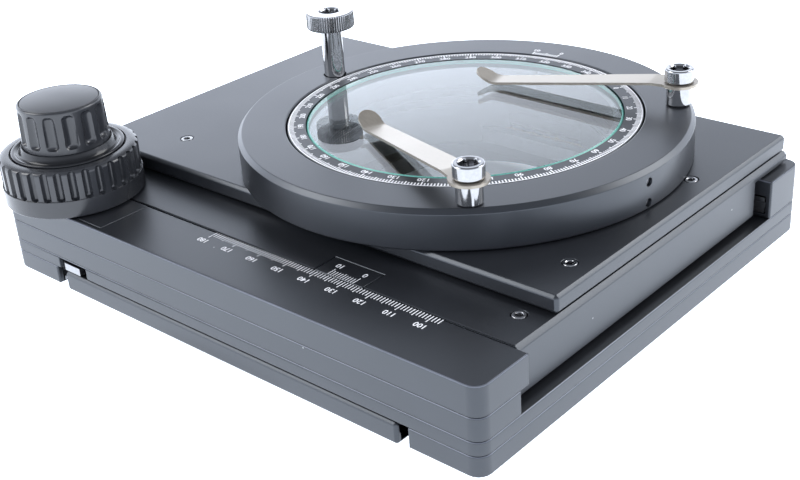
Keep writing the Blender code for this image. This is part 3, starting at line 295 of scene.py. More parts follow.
def softProfile(corners, radii, steps=3):
    # an outline whose corners become arcs, which start and end their radius over tan(half the
    # corner) away from it, along the two sides
    corners = np.array(corners, float)
    rows = []
    for index, radius in enumerate(radii):
        here = corners[index]
        if radius == 0:
            rows.append(here[None])
            continue
        before = corners[index - 1] - here
        after = corners[(index + 1) % len(corners)] - here
        before = before / np.linalg.norm(before)
        after = after / np.linalg.norm(after)
        half = math.acos(np.clip(before @ after, -1, 1)) / 2
        centre = here + (before + after) / np.linalg.norm(before + after) * radius / math.sin(half)
        first = here + before * radius / math.tan(half) - centre
        last = here + after * radius / math.tan(half) - centre
        share = np.linspace(0, 1, steps + 1)[:, None]
        angle = math.pi - 2 * half
        arc = np.sin((1 - share) * angle) * first + np.sin(share * angle) * last
        support = radius * supportShare
        rows.append((centre + first + before * support)[None])
        rows.append(centre + arc / math.sin(angle))
        rows.append((centre + last + after * support)[None])
    return np.concatenate(rows)


def quarterRound(radius, high, size, steps):
    # the top edge of a turned piece: a quarter circle from its top out and down to its side
    turn = np.linspace(math.pi / 2, 0, steps)
    middle = np.array([radius - size, high - size])
    return middle + size * np.stack([np.cos(turn), np.sin(turn)], axis=-1)


def gridMesh(grid, loopRows, loopColumns=True):
    # grid[i, j] is point j of row i; rows and columns join their neighbours, and close where asked
    rows, columns = grid.shape[:2]
    index = np.arange(rows * columns).reshape(rows, columns)
    nextRow = np.roll(index, -1, axis=0)
    nextColumn = np.roll(index, -1, axis=1)
    both = np.roll(nextRow, -1, axis=1)
    quads = np.stack([index, nextColumn, both, nextRow], axis=-1)
    quads = quads[: rows if loopRows else rows - 1, : columns if loopColumns else columns - 1]
    mesh = bpy.data.meshes.new("grid")
    mesh.from_pydata(grid.reshape(-1, 3).tolist(), [], quads.reshape(-1, 4).tolist())
    return mesh


def closeUp(mesh, sharpDegrees=34):
    # merges doubled points, turns faces outwards and shades all but the sharp edges smooth
    shell = bmesh.new()
    shell.from_mesh(mesh)
    bmesh.ops.remove_doubles(shell, verts=shell.verts, dist=mergeWithin)
    bmesh.ops.dissolve_degenerate(shell, edges=shell.edges, dist=mergeWithin)
    bmesh.ops.recalc_face_normals(shell, faces=shell.faces)
    shell.to_mesh(mesh)
    shell.free()
    mesh.shade_smooth()
    mesh.set_sharp_from_angle(angle=math.radians(sharpDegrees))


def newObject(name, data):
    made = bpy.data.objects.new(name, data)
    bpy.context.scene.collection.objects.link(made)
    return made


def evaluated(data, *modifiers):
    # the mesh that a mesh or a text gives with these modifiers (kind, settings) on it
    holder = newObject("holder", data)
    for kind, settings in modifiers:
        modifier = holder.modifiers.new(kind.lower(), kind)
        for setting, choice in settings.items():
            setattr(modifier, setting, choice)
    graph = bpy.context.evaluated_depsgraph_get()
    done = bpy.data.meshes.new_from_object(holder.evaluated_get(graph))
    bpy.data.objects.remove(holder, do_unlink=True)
    return done


def readOut(items, attribute, width=1, kind=float):
    # one attribute of all points, corners or faces as an array
    values = np.empty(len(items) * width, kind)
    items.foreach_get(attribute, values)
    return values.reshape(-1, width) if width > 1 else values


def addPiece(name, mesh, body, slotName, *finishNames):
    # a mesh with its finishes, riding on a body
    piece = newObject(name, mesh)
    mesh.name = name
    for finishName in finishNames:
        mesh.materials.append(finishes[finishName])
    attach(piece, body)
    return piece


def revolved(profile, centre, steps, radiusAt=None):
    # each profile point (radius, height) goes round the upright axis through centre;
    # radiusAt(radius, height, turn) may change the radius on the way, for ribs, flutes and sockets
    turn = np.arange(steps) * 2 * math.pi / steps
    radius = np.repeat(profile[:, :1], steps, axis=1)
    height = np.repeat(profile[:, 1:], steps, axis=1)
    if radiusAt:
        radius = radiusAt(radius, height, turn[None])
    x = centre[0] + radius * np.cos(turn)
    y = centre[1] + radius * np.sin(turn)
    onAxis = profile[0, 0] == 0 and profile[-1, 0] == 0
    mesh = gridMesh(np.stack([x, y, height], axis=-1), loopRows=not onAxis)
    closeUp(mesh)
    return mesh


def cutAway(mesh, cutters):
    # takes upright or leaning cylinders (start, end, radius, sides) out of a mesh
    shell = bmesh.new()
    for start, end, radius, sides in cutters:
        start, end = Vector(start), Vector(end)
        lean = (end - start).to_track_quat("Z", "Y").to_matrix().to_4x4()
        bmesh.ops.create_cone(
            shell, cap_ends=True, segments=sides, radius1=radius, radius2=radius,
            depth=(end - start).length, matrix=Matrix.Translation((start + end) / 2) @ lean)
    tool = bpy.data.meshes.new("tool")
    shell.to_mesh(tool)
    shell.free()
    cutter = newObject("cutter", tool)
    done = evaluated(mesh, ("BOOLEAN", {
        "operation": "DIFFERENCE", "solver": "EXACT", "object": cutter}))
    bpy.data.objects.remove(cutter, do_unlink=True)
    closeUp(done)
    return done


def nodeAxis(name):
    # centre, radius, lowest and highest level of a CAD node that stands round an upright axis
    low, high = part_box(name)
    return (low + high) / 2, (high[0] - low[0]) / 2, low[2], high[2]


def onCircle(centre, radius, degrees):
    # a point on a circle, so far round from x
    turn = math.radians(degrees)
    return centre[0] + radius * math.cos(turn), centre[1] + radius * math.sin(turn)


def hexagon(turn, acrossFlats):
    # distance from the axis to a hexagon's side in each direction
    return acrossFlats / 2 / np.cos((turn + math.pi / 6) % (math.pi / 3) - math.pi / 6)


# Carried-over CAD pieces
carried = {
    "dial": ["dial_retainer"],
    "rail": ["base_rail_left", "base_rail_right", "frame_rail_left", "frame_rail_right",
             "frame_rail_front", "frame_rail_rear", "slide_rail_front", "slide_rail_rear"],
    "steel": ["y_rack", "x_rack", "idler_pin", "coarse_sleeve", "fine_shaft", "set_screw_lower",
              "set_screw_upper"],
    "brass": ["y_roller_cage_left", "y_roller_cage_right", "x_roller_cage_front",
              "x_roller_cage_rear", "knob_bush", "x_pinion", "x_idler_gear", "y_pinion"],
}
for finishName, names in carried.items():
    for name in names:
        nodes[name].data.materials.clear()
        nodes[name].data.materials.append(finishes[finishName])
print("CAD pieces finished")


# Milled plates and blocks: the CAD solids with their sharp edges broken, so that they catch light
milled = {
    "edge": 0.28 * mm, "segments": 2, "sharperThan": 35, "flatWithin": 0.5, "flatWeight": 100,
    # the lean and area limits pick the small upward faces that get the painted edge highlight
    "merge": 0.001 * mm, "highlightLean": (0.45, 0.85), "highlightArea": 80 * mm * mm,
}
milledPieces = {
    "base": ["base_plate"],
    "frame": ["web_plate", "left_block", "right_block", "front_rail_block", "rear_block",
              "drive_cover", "scale_block"],
    "slide": ["slide_plate", "top_plate", "vernier_plate"],
}


# The blocks of the frame lie on each other: their seams are drawn finer than the CAD's clearance
seams = {
    "closed": 0.2 * mm, "chamfer": 0.35 * mm, "shown": 0.15 * mm, "reach": 0.3 * mm,
    "below": ["web_plate", "front_rail_block", "rear_block", "scale_block"],
    "above": ["left_block", "right_block", "web_plate", "front_rail_block"],
}


def closeSeams(mesh, name):
    # the underside goes down, and chamfers beside a seam get thinner; heights in between are
    # spread evenly
    points = readOut(mesh.vertices, "co", 3)
    low, high = points[:, 2].min(), points[:, 2].max()
    chamfer, shown, reach = seams["chamfer"], seams["shown"], seams["reach"]
    was = [low, low + chamfer, low + chamfer + reach, high - chamfer - reach, high - chamfer, high]
    now = list(was)
    if name in seams["below"]:
        now[0] = low - seams["closed"]
        now[1] = now[0] + shown
    if name in seams["above"]:
        now[4] = high - shown
    points[:, 2] = np.interp(points[:, 2], was, now)
    mesh.vertices.foreach_set("co", points.reshape(-1))


def breakEdges(mesh):
    # bevels each edge that is sharper than the limit and keeps the flats flat in their shading
    bevel = {"width": milled["edge"], "segments": milled["segments"], "limit_method": "ANGLE",
             "angle_limit": math.radians(milled["sharperThan"]), "use_clamp_overlap": False}
    even = {"mode": "FACE_AREA", "weight": milled["flatWeight"]}
    return evaluated(mesh, ("BEVEL", bevel), ("WEIGHTED_NORMAL", even))


def paleEdges(mesh):
    # painted highlight: the frame's small faces that lean upwards, its bevels where light catches,
    # take a much paler tone of the anodising
    lean = readOut(mesh.polygons, "normal", 3)[:, 2]
    small = readOut(mesh.polygons, "area") < milled["highlightArea"]
    low, high = milled["highlightLean"]
    pale = small & (lean > low) & (lean < high)
    mesh.polygons.foreach_set("material_index", pale.astype(np.int32))


def milledPiece(name, body):
    # a copy of the CAD solid with its triangles joined into flats and its edges broken
    mesh = nodes[name].data.copy()
    mesh.transform(nodes[name].matrix_world)
    closeSeams(mesh, name)
    shell = bmesh.new()
    shell.from_mesh(mesh)
    bmesh.ops.remove_doubles(shell, verts=shell.verts, dist=milled["merge"])
    flatWithin = math.radians(milled["flatWithin"])
    bmesh.ops.dissolve_limit(
        shell, angle_limit=flatWithin, verts=shell.verts, edges=shell.edges)
    shell.to_mesh(mesh)
    shell.free()
    mesh.materials.clear()
    mesh.shade_smooth()
    mesh = breakEdges(mesh)
    # the frame's upward-leaning bevels get a painted highlight
    if body == "frame":
        paleEdges(mesh)
    slotName = "scale_plate" if name in ("scale_block", "vernier_plate") else "black_anodised"
    finishName = "scale" if name == "scale_block" else "plate"
    piece = addPiece(name + "_milled", mesh, body, slotName, finishName, "edge")
    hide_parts(name)


for body, names in milledPieces.items():
    for name in names:
        milledPiece(name, body)
print("plates and blocks made")


# Ring housing
ringDesign = {
    "steps": 288, "bore": 53.9 * mm, "flange": 49.0 * mm, "flangeHeight": 3.2 * mm,
    "chamfer": 1.3 * mm, "edge": 0.4 * mm, "recessRadius": 3.8 * mm, "recessDepth": 1.5 * mm,
    "recessSides": 40, "setScrewHole": 1.3 * mm, "setScrewHeights": (1.8 * mm, 7.9 * mm),
    "setScrewAngle": -5.0, "setScrewDepth": 6.0 * mm, "setScrewSides": 24,
}


def ringHousing():
    # a turned profile with a flange under the dial; the clamp's recess and the set screws' holes
    # are cut out of it
    d = ringDesign
    centre, radius, low, high = nodeAxis("ring_housing")
    chamfer, edge = d["chamfer"], d["edge"]
    flangeTop = low + d["flangeHeight"]
    corners = [
        (d["bore"], high), (radius - chamfer, high), (radius, high - chamfer), (radius, low),
        (d["flange"], low), (d["flange"], flangeTop), (d["bore"], flangeTop),
    ]
    profile = softProfile(corners, (edge, edge, edge, edge, 0, 0, 0))
    mesh = revolved(profile, centre, d["steps"])
    clamp = nodeAxis("clamp_screw")[0][:2]
    recess = (*clamp, high - d["recessDepth"]), (*clamp, high + overrun)
    cutters = [(*recess, d["recessRadius"], d["recessSides"])]
    inner = onCircle(centre, radius - d["setScrewDepth"], d["setScrewAngle"])
    outer = onCircle(centre, radius + overrun, d["setScrewAngle"])
    for height in d["setScrewHeights"]:
        hole = (*inner, low + height), (*outer, low + height)
        cutters.append((*hole, d["setScrewHole"], d["setScrewSides"]))
    mesh = cutAway(mesh, cutters)
    piece = addPiece("ringHousingShell", mesh, "slide", "black_anodised", "housing")
    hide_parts("ring_housing")


# Dial
dialDesign = {
    "steps": 288, "glassSeat": 47.9 * mm, "lip": 44.5 * mm, "sleeve": 48.6 * mm,
    "seatDepth": 4.9 * mm, "shelf": 3.5 * mm, "seatEdge": 0.1 * mm, "edge": 0.35 * mm,
    "lipEdge": 0.2 * mm,
}


def dialRing():
    # a turned profile: flat top, wall, sleeve down through the housing and a lip under the glass
    d = dialDesign
    centre, radius, low, high = nodeAxis("dial_ring")
    shelf = low + d["shelf"]
    seat = high - d["seatDepth"]
    corners = [
        (d["glassSeat"], high), (radius, high), (radius, shelf), (d["sleeve"], shelf),
        (d["sleeve"], low), (d["lip"], low), (d["lip"], seat), (d["glassSeat"], seat),
    ]
    profile = softProfile(corners, (d["seatEdge"], d["edge"], 0, 0, 0, 0, d["lipEdge"], 0))
    mesh = revolved(profile, centre, d["steps"])
    piece = addPiece("dialRingTurned", mesh, "dial", "scale_plate", "dial")
    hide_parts("dial_ring")


# Glass
glassDesign = {"steps": 288, "bevel": 0.5 * mm, "innerCircle": 0.5, "rimLean": 0.9}


def glassDisc():
    # a flat disc with bevelled rims; faces that lean away from upright take the ground finish
    centre, radius, low, high = nodeAxis("glass_disc")
    bevel = glassDesign["bevel"]
    profile = np.array([
        (0, high), (radius * glassDesign["innerCircle"], high), (radius - bevel, high),
        (radius, high - bevel), (radius, low + bevel), (radius - bevel, low), (0, low),
    ])
    mesh = revolved(profile, centre, glassDesign["steps"])
    rim = np.abs(readOut(mesh.polygons, "normal", 3)[:, 2]) < glassDesign["rimLean"]
    mesh.polygons.foreach_set("material_index", rim.astype(np.int32))
    piece = addPiece("glassDiscPolished", mesh, "dial", "clear_glass", "glass", "glassEdge")
    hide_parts("glass_disc")


ringHousing()
dialRing()
glassDisc()
print("ring, dial and glass made")


# Posts, screws and clamp
postDesign = {"steps": 72, "edge": 0.25 * mm, "bore": 2.6 * mm, "wider": 0.35 * mm}
clipScrewDesign = {
    "steps": 96, "edge": 0.45 * mm, "rim": 3.15 * mm, "acrossFlats": 5.2 * mm, "depth": 2.4 * mm,
    "shank": 2.3 * mm, "headHeight": 4.0 * mm,
}
plateScrewDesign = {
    "steps": 48, "edge": 0.25 * mm, "rim": 1.25 * mm, "acrossFlats": 2.0 * mm, "depth": 1.3 * mm,
    "shank": 1.2 * mm, "headHeight": 2.2 * mm,
}
socketShape = {
    "dish": 0.35 * mm, "flatFloor": 0.72, "lead": 0.8,
    "rimEdge": 0.3, "underEdge": 0.6, "footEdge": 0.5,  # shares of the head's own edge
}


def clipPost(side):
    # a tube with both outer edges rounded
    centre, radius, low, high = nodeAxis("clip_post_" + side)
    edge, bore = postDesign["edge"], postDesign["bore"]
    radius += postDesign["wider"]
    corners = [(bore, high), (radius, high), (radius, low), (bore, low)]
    profile = softProfile(corners, (0, edge, edge, 0))
    mesh = revolved(profile, centre, postDesign["steps"])
    piece = addPiece("clipPostTurned_" + side, mesh, "slide", "chrome", "chrome")
    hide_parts("clip_post_" + side)


def capScrew(name, pieceName, d, slotName, finishName):
    # one profile: out over the socket's floor, up its wall, which is moved to a hexagon, over the
    # rim and down the shank
    centre, radius, low, high = nodeAxis(name)
    shape = socketShape
    floor = high - d["depth"]
    underHead = high - d["headHeight"]
    inner, rim, edge = d["acrossFlats"] / 2, d["rim"], d["edge"]
    corners = [
        (0, floor - shape["dish"]), (inner * shape["flatFloor"], floor), (inner, floor),
        (inner, high - (rim - inner) * shape["lead"]), (rim, high), (radius, high),
        (radius, underHead), (d["shank"], underHead), (d["shank"], low), (0, low),
    ]
    profile = softProfile(corners, (
        0, 0, 0, 0, edge * shape["rimEdge"], edge, edge * shape["underEdge"], 0,
        edge * shape["footEdge"], 0))

    def socket(radii, height, turn):
        return np.where(np.abs(radii - inner) < touch, hexagon(turn, d["acrossFlats"]), radii)

    mesh = revolved(profile, centre, d["steps"], socket)
    piece = addPiece(pieceName, mesh, "slide", slotName, finishName)
    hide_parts(name)


clampDesign = {
    "steps": 480, "teeth": 60, "toothDepth": 0.42 * mm, "toothReach": 0.9,
    "headHeight": 5.3 * mm, "shank": 3.4 * mm, "thread": 2.0 * mm, "threadLength": 6.0 * mm,
    "rim": 3.6 * mm, "acrossFlats": 6.2 * mm, "socketDepth": 2.4 * mm, "lead": 0.6 * mm,
    "edge": 0.45 * mm, "rimEdge": 0.1 * mm, "neckEdge": 0.3 * mm, "footEdge": 0.27 * mm,
    "tipEdge": 0.2 * mm,
}


def clampScrew():
    # one profile from socket to thread; the knurl is a cosine on the head's radius
    d = clampDesign
    centre, radius, low, high = nodeAxis("clamp_screw")
    foot = low + d["threadLength"]
    underHead = high - d["headHeight"]
    floor = high - d["socketDepth"]
    inner, edge = d["acrossFlats"] / 2, d["edge"]
    corners = [
        (0, floor), (inner, floor), (inner, high - d["lead"]), (d["rim"], high), (radius, high),
        (radius, underHead), (d["shank"], underHead), (d["shank"], foot), (d["thread"], foot),
        (d["thread"], low), (0, low),
    ]
    profile = softProfile(corners, (
        0, 0, 0, d["rimEdge"], edge, edge, d["neckEdge"], d["footEdge"], 0, d["tipEdge"], 0))

    def knurl(radii, height, turn):
        wave = 0.5 - 0.5 * np.cos(turn * d["teeth"])
        cut = radii - d["toothDepth"] * wave * (radii > radius - edge * d["toothReach"])
        wall = (np.abs(radii - inner) < touch) & (height > floor - touch)
        return np.where(wall, hexagon(turn, d["acrossFlats"]), cut)

    mesh = revolved(profile, centre, d["steps"], knurl)
    piece = addPiece("clampScrewKnurled", mesh, "clamp", "chrome", "chrome")
    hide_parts("clamp_screw")


for side in ("front", "rear"):
    clipPost(side)
    name = "clip_screw_" + side
    capScrew(name, "clipScrewTurned_" + side, clipScrewDesign, "chrome", "chrome")
for name in [f"top_plate_screw_{number}" for number in (1, 2, 3, 4)]:
    capScrew(name, name + "_turned", plateScrewDesign, "chrome", "chrome")
for name in ("slide_screw_1", "slide_screw_2"):
    capScrew(name, name + "_turned", plateScrewDesign, "ground_steel", "steel")
clampScrew()
print("posts, screws and clamp made")


# Spring clips
clipDesign = {
    "headings": {"front": 156.9, "rear": 193.6}, "thickness": 0.8 * mm, "reach": 59.5 * mm,
    "flat": 8.0 * mm, "flatBend": 8.0 * mm, "eye": 5.6 * mm, "hole": 2.6 * mm, "holeSides": 40,
    "neck": 4.1 * mm, "tip": 3.3 * mm, "tongue": 6.0 * mm, "tongueRise": 3.2 * mm,
    "bend": 7.0 * mm, "bendSteps": 12, "rows": 260, "evenRows": 0.35, "columns": 15, "sharp": 50,
}


def clipOutline(reach, end):
    # half the width at each reach: the eye's circle, then a straight taper, then a round tip
    d = clipDesign
    eye, tip = d["eye"], d["tip"]
    taper = d["neck"] + (tip - d["neck"]) * np.clip(reach / end, 0, 1)
    circle = np.sqrt(np.clip(eye ** 2 - reach ** 2, 0, None))
    past = np.clip(reach - (end - tip), 0, None)
    tipRound = np.sqrt(np.clip(tip ** 2 - past ** 2, 0, None))
    half = np.where(reach < 0, circle, np.maximum(circle, taper))
    return np.where(reach > end - tip, np.minimum(half, tipRound), half)


def clipBlade(side):
    # a line in reach and height with soft bends is carried across the outline's width; the upper
    # side lies one thickness off it along its normal
    d = clipDesign
    post = nodeAxis("clip_post_" + side)[0]
    low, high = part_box("clip_" + side)
    bottom = low[2]
    eyeHeight = high[2] - d["thickness"]
    path = [(-d["eye"], eyeHeight), (d["flat"], eyeHeight), (d["reach"], bottom),
            (d["reach"] + d["tongue"], bottom + d["tongueRise"])]
    line = softProfile(path, (0, d["flatBend"], d["bend"], 0), d["bendSteps"])
    end = line[-1, 0]
    share = np.linspace(0, 1, d["rows"])
    bunched = 0.5 - 0.5 * np.cos(math.pi * share)
    share = d["evenRows"] * share + (1 - d["evenRows"]) * bunched
    reach = -d["eye"] + (end + d["eye"]) * share
    height = np.interp(reach, line[:, 0], line[:, 1])
    half = clipOutline(reach, end)
    across = np.sin(np.linspace(-1, 1, d["columns"]) * math.pi / 2)
    rise = np.gradient(height, reach)
    normal = np.stack([-rise, np.ones_like(rise)], axis=-1) / np.sqrt(1 + rise ** 2)[:, None]
    lower = np.stack(np.broadcast_arrays(
        reach[:, None], half[:, None] * across, height[:, None]), axis=-1)
    upper = lower.copy()
    upper[..., ::2] += normal[:, None] * d["thickness"]
    grid = np.concatenate([lower, upper[:, ::-1]], axis=1)
    turn = math.radians(d["headings"][side])
    x = post[0] + grid[..., 0] * math.cos(turn) - grid[..., 1] * math.sin(turn)
    y = post[1] + grid[..., 0] * math.sin(turn) + grid[..., 1] * math.cos(turn)
    mesh = gridMesh(np.stack([x, y, grid[..., 2]], axis=-1), loopRows=False)
    closeUp(mesh, d["sharp"])
    hole = (*post[:2], bottom - overrun), (*post[:2], high[2] + overrun)
    mesh = cutAway(mesh, [(*hole, d["hole"], d["holeSides"])])
    piece = addPiece("clipBlade_" + side, mesh, side + "_clip", "spring_steel", "spring")
    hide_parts("clip_" + side)


for side in ("front", "rear"):
    clipBlade(side)
print("clips made")


# Knobs
coarseDesign = {
    "grip": 20.9 * mm, "gripSteps": 24, "bandHeight": 5.3 * mm, "bandGap": 0.4 * mm,
    "bandStep": 0.02 * mm, "shoulder": 1.6 * mm, "shoulderSteps": 26, "squareness": 0.72,
    "seat": 17.6 * mm, "seatRim": 0.3 * mm, "seatDepth": 1.8 * mm, "skirtWall": 2.2 * mm,
    "skirtDepth": 3.9 * mm, "hub": 6.0 * mm, "hubLift": 0.3 * mm, "bore": 3.0 * mm,
    "edge": 0.4 * mm, "bandEdge": 0.2 * mm, "grooves": 32, "grooveRadius": 1.1 * mm,
    "grooveCentre": 20.42 * mm, "nose": 0.9 * mm, "crown": 0.3 * mm, "stepsPerGroove": 20,
}


def noseRound(toEnd):
    # a quarter circle from 0 at the end of a cut to 1 a nose's length away
    return np.sqrt(1 - np.clip(1 - toEnd, 0, 1) ** 2)


def roundCut(radii, turn, count, middle, cutter, use):
    # what a round cutter leaves that stands on the circle called middle, once in each equal pitch
    pitch = 2 * math.pi / count
    off = (turn + pitch / 2) % pitch - pitch / 2
    inside = cutter ** 2 - (middle * np.sin(off)) ** 2
    cut = middle * np.cos(off) - np.sqrt(np.clip(inside, 0, None))
    return np.where(use & (inside > 0), np.minimum(radii, cut), radii)


def coarseKnob():
    # one profile: shoulder, grip, band, hollow skirt, hub and the disc's seat; a round cutter then
    # makes the grooves of the grip
    d = coarseDesign
    centre, radius, low, high = nodeAxis("coarse_knob")
    band = low + d["bandHeight"]
    crown = high - d["crown"]
    seatFloor = high - d["seatDepth"]
    hollow = low + d["skirtDepth"]
    hubFoot = low + d["hubLift"]
    wall = radius - d["skirtWall"]
    seatRim = d["seat"] + d["seatRim"]
    turn = np.linspace(math.pi / 2, 0, d["shoulderSteps"])
    out, up = np.cos(turn) ** d["squareness"], np.sin(turn) ** d["squareness"]
    shoulder = np.stack([seatRim + (d["grip"] - seatRim) * out,
                         high - d["shoulder"] * (1 - up)], axis=-1)
    heights = np.linspace(shoulder[-1, 1], band + d["bandGap"], d["gripSteps"])[1:]
    grip = np.stack([np.full_like(heights, d["grip"]), heights], axis=-1)
    step = np.array([(d["grip"], band + d["bandStep"]), (d["grip"] + d["bandStep"], band)])
    rest = softProfile(
        [(radius, band), (radius, low), (wall, low), (wall, hollow), (d["hub"], hollow),
         (d["hub"], hubFoot), (d["bore"], hubFoot), (d["bore"], seatFloor), (d["seat"], seatFloor),
         (d["seat"], high)],
        (d["bandEdge"], d["edge"], 0, 0, 0, 0, 0, 0, 0, 0))
    profile = np.concatenate([shoulder, grip, step, rest])

    def groove(radii, height, turn):
        # the cutter's whole radius shrinks at both ends
        toEnd = np.minimum(height - band, crown - height) / d["nose"]
        use = (toEnd > 0) & (radii > d["seat"])
        cutter = d["grooveRadius"] * noseRound(toEnd)
        return roundCut(radii, turn, d["grooves"], d["grooveCentre"], cutter, use)

    mesh = revolved(profile, centre, d["grooves"] * d["stepsPerGroove"], groove)
    piece = addPiece("coarseKnobRibbed", mesh, "x_knob", "ribbed_plastic", "knob")
    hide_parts("coarse_knob")


discDesign = {
    "gap": 0.3 * mm, "flat": 13.4 * mm, "collar": 1.5 * mm, "collarWall": 0.25 * mm,
    "collarEdge": 0.1 * mm, "collarFall": 2.6, "hollowDepth": 0.75 * mm, "hollowShape": 1.4,
    "sweepSteps": 30, "lip": 1.1 * mm, "rim": 0.5 * mm, "rimSteps": 8, "steps": 192,
}


def knobDisc():
    # a low collar sweeps down into a shallow hollow, which rises again to a rounded rim
    centre, radius, low, high = nodeAxis("knob_disc")
    d = discDesign
    bore = coarseDesign["bore"]
    radius -= d["gap"]
    lip = radius - d["lip"]
    share = np.linspace(0, 1, d["sweepSteps"])
    crest = d["flat"] + d["collarWall"]
    fall = d["collar"] * (1 - share) ** d["collarFall"]
    dip = d["hollowDepth"] * np.sin(math.pi * share) ** d["hollowShape"]
    sweep = np.stack([crest + (lip - crest) * share, high + fall - dip], axis=-1)
    top, edge = high + d["collar"], d["collarEdge"]
    collar = np.array([(d["flat"], high), (d["flat"], top - edge), (d["flat"] + edge, top)])
    rim = quarterRound(radius, high, d["rim"], d["rimSteps"])[1:]
    rest = np.array([(radius, low), (bore, low), (bore, high)])
    mesh = revolved(np.concatenate([collar, sweep, rim, rest]), centre, d["steps"])
    piece = addPiece("knobDiscGlossy", mesh, "x_knob", "gloss_plastic", "gloss")
    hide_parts("knob_disc")


fineDesign = {
    "flange": 2.6 * mm, "topRadius": 12.7 * mm, "edge": 0.75 * mm, "edgeSteps": 10,
    "sideSteps": 42, "footRise": 0.2 * mm, "footEdge": 0.35 * mm, "footReach": 2.0 * mm,
    "seat": 11.9 * mm, "seatDepth": 1.6 * mm, "seatRim": 0.1 * mm, "bore": 2.1 * mm,
    "boreTop": 2.7 * mm, "flutes": 14, "fluteRadius": 2.3 * mm, "bite": 1.35 * mm,
    "topMargin": 1.3 * mm, "nose": 1.3 * mm, "stepsPerFlute": 36,
}


def fineKnob():
    # one profile: seat for the cap, rounded edge, side that widens down to a flange, bore; a
    # round-nosed cutter then makes each flute
    d = fineDesign
    centre, radius, low, high = nodeAxis("fine_knob")
    flange = low + d["flange"]
    top = high - d["topMargin"]
    seatFloor = high - d["seatDepth"]
    boreTop = high - d["boreTop"]
    seat = np.array([(0, seatFloor), (d["seat"], seatFloor), (d["seat"], high - d["seatRim"])])
    edge = quarterRound(d["topRadius"], high, d["edge"], d["edgeSteps"])
    share = np.linspace(0, 1, d["sideSteps"])[1:, None]
    side = edge[-1] + share * (np.array([radius, flange]) - edge[-1])
    foot = softProfile(
        [(radius, flange - d["footRise"]), (radius, low), (radius - d["footReach"], low)],
        (0, d["footEdge"], 0), 4)
    bore = np.array([(d["bore"], low), (d["bore"], boreTop), (0, boreTop)])
    profile = np.concatenate([seat, edge, side, foot, bore])
    middle = radius + d["fluteRadius"] - d["bite"]

    def flute(radii, height, turn):
        # the cutter's bite shrinks at both ends
        toEnd = np.minimum(top - height, height - flange) / d["nose"]
        use = (toEnd > 0) & (radii > d["seat"] + touch)
        cutter = d["fluteRadius"] - d["bite"] * (1 - noseRound(toEnd))
        return roundCut(radii, turn, d["flutes"], middle, cutter, use)

    mesh = revolved(profile, centre, d["flutes"] * d["stepsPerFlute"], flute)
    piece = addPiece("fineKnobFluted", mesh, "y_knob", "ribbed_plastic", "knob")
    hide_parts("fine_knob")


capDesign = {"drop": 0.6 * mm, "dome": 2.4, "domeSteps": 24, "edge": 0.12 * mm, "steps": 144}


def knobCap():
    # a low dome: its height falls with a power of the radius
    d = capDesign
    centre, radius, low, high = nodeAxis("knob_cap")
    share = np.linspace(0, 1, d["domeSteps"])
    dome = np.stack([share * (radius - d["edge"]), high - d["drop"] * share ** d["dome"]], axis=-1)
    rest = np.array([(radius, high - d["drop"] - d["edge"]), (radius, low), (0, low)])
    mesh = revolved(np.concatenate([dome, rest]), centre, d["steps"])
    piece = addPiece("knobCapDomed", mesh, "y_knob", "gloss_plastic", "cap")
    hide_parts("knob_cap")


coarseKnob()
knobDisc()
fineKnob()
knobCap()
print("knobs made")


# Engraved scales and numbers
ink = {"height": 0.02 * mm, "boldness": 0.04 * mm, "gapAbove": 0.03 * mm, "curveSteps": 3}


def strokes(centres, halfSizes, turns, level):
    # one thin box for each stroke, turned about its centre
    corner = np.array([(-1, -1), (1, -1), (1, 1), (-1, 1)], float)
    flat = corner[None] * halfSizes[:, None]
    cos, sin = np.cos(turns)[:, None], np.sin(turns)[:, None]
    x = centres[:, :1] + flat[..., 0] * cos - flat[..., 1] * sin
    y = centres[:, 1:] + flat[..., 0] * sin + flat[..., 1] * cos
    low = np.stack([x, y, np.full_like(x, level)], axis=-1)
    high = low + np.array([0, 0, ink["height"]])
    points = np.concatenate([low, high], axis=1).reshape(-1, 3)
    sides = [(3, 2, 1, 0), (4, 5, 6, 7), (0, 1, 5, 4), (1, 2, 6, 5), (2, 3, 7, 6), (3, 0, 4, 7)]
    quads = (np.arange(len(centres))[:, None, None] * 8 + np.array(sides)).reshape(-1, 4)
    return points, quads.tolist()


def numberShapes(entries, level, start):
    # entries are (words, x, y, turn, size): each becomes a thin solid on the surface, whose faces
    # count points from start
    allPoints, allFaces = [], []
    for words, x, y, turn, size in entries:
        curve = bpy.data.curves.new("words", "FONT")
        curve.body = words
        curve.size = size
        curve.align_x = "CENTER"
        curve.align_y = "CENTER"
        curve.resolution_u = ink["curveSteps"]
        curve.extrude = ink["height"] / 2
        curve.offset = ink["boldness"]
        mesh = evaluated(curve)
        place = Matrix.Translation((x, y, level + ink["height"] / 2))
        mesh.transform(place @ Matrix.Rotation(turn, 4, "Z"))
        corners = readOut(mesh.loops, "vertex_index", kind=np.int32)
        firsts = readOut(mesh.polygons, "loop_start", kind=np.int32)
        allPoints.append(readOut(mesh.vertices, "co", 3))
        allFaces += [face.tolist() for face in np.split(corners + start, firsts[1:])]
        start += len(mesh.vertices)
        bpy.data.meshes.remove(mesh)
    return np.concatenate(allPoints), allFaces


def inkPiece(name, body, strokeSet, entries, level):
    # strokes and words in one mesh, just above a surface
    points, faces = strokes(*strokeSet, level)
    wordPoints, wordFaces = numberShapes(entries, level, len(points))
    mesh = bpy.data.meshes.new(name)
    mesh.from_pydata(np.concatenate([points, wordPoints]).tolist(), [], faces + wordFaces)
    mesh.validate()
    addPiece(name, mesh, body, "scale_plate", "ink")


def tickLengths(values, long, middle, short):
    # long at each ten, middle at each five and short between
    return np.where(values % 10 == 0, long, np.where(values % 5 == 0, middle, short))


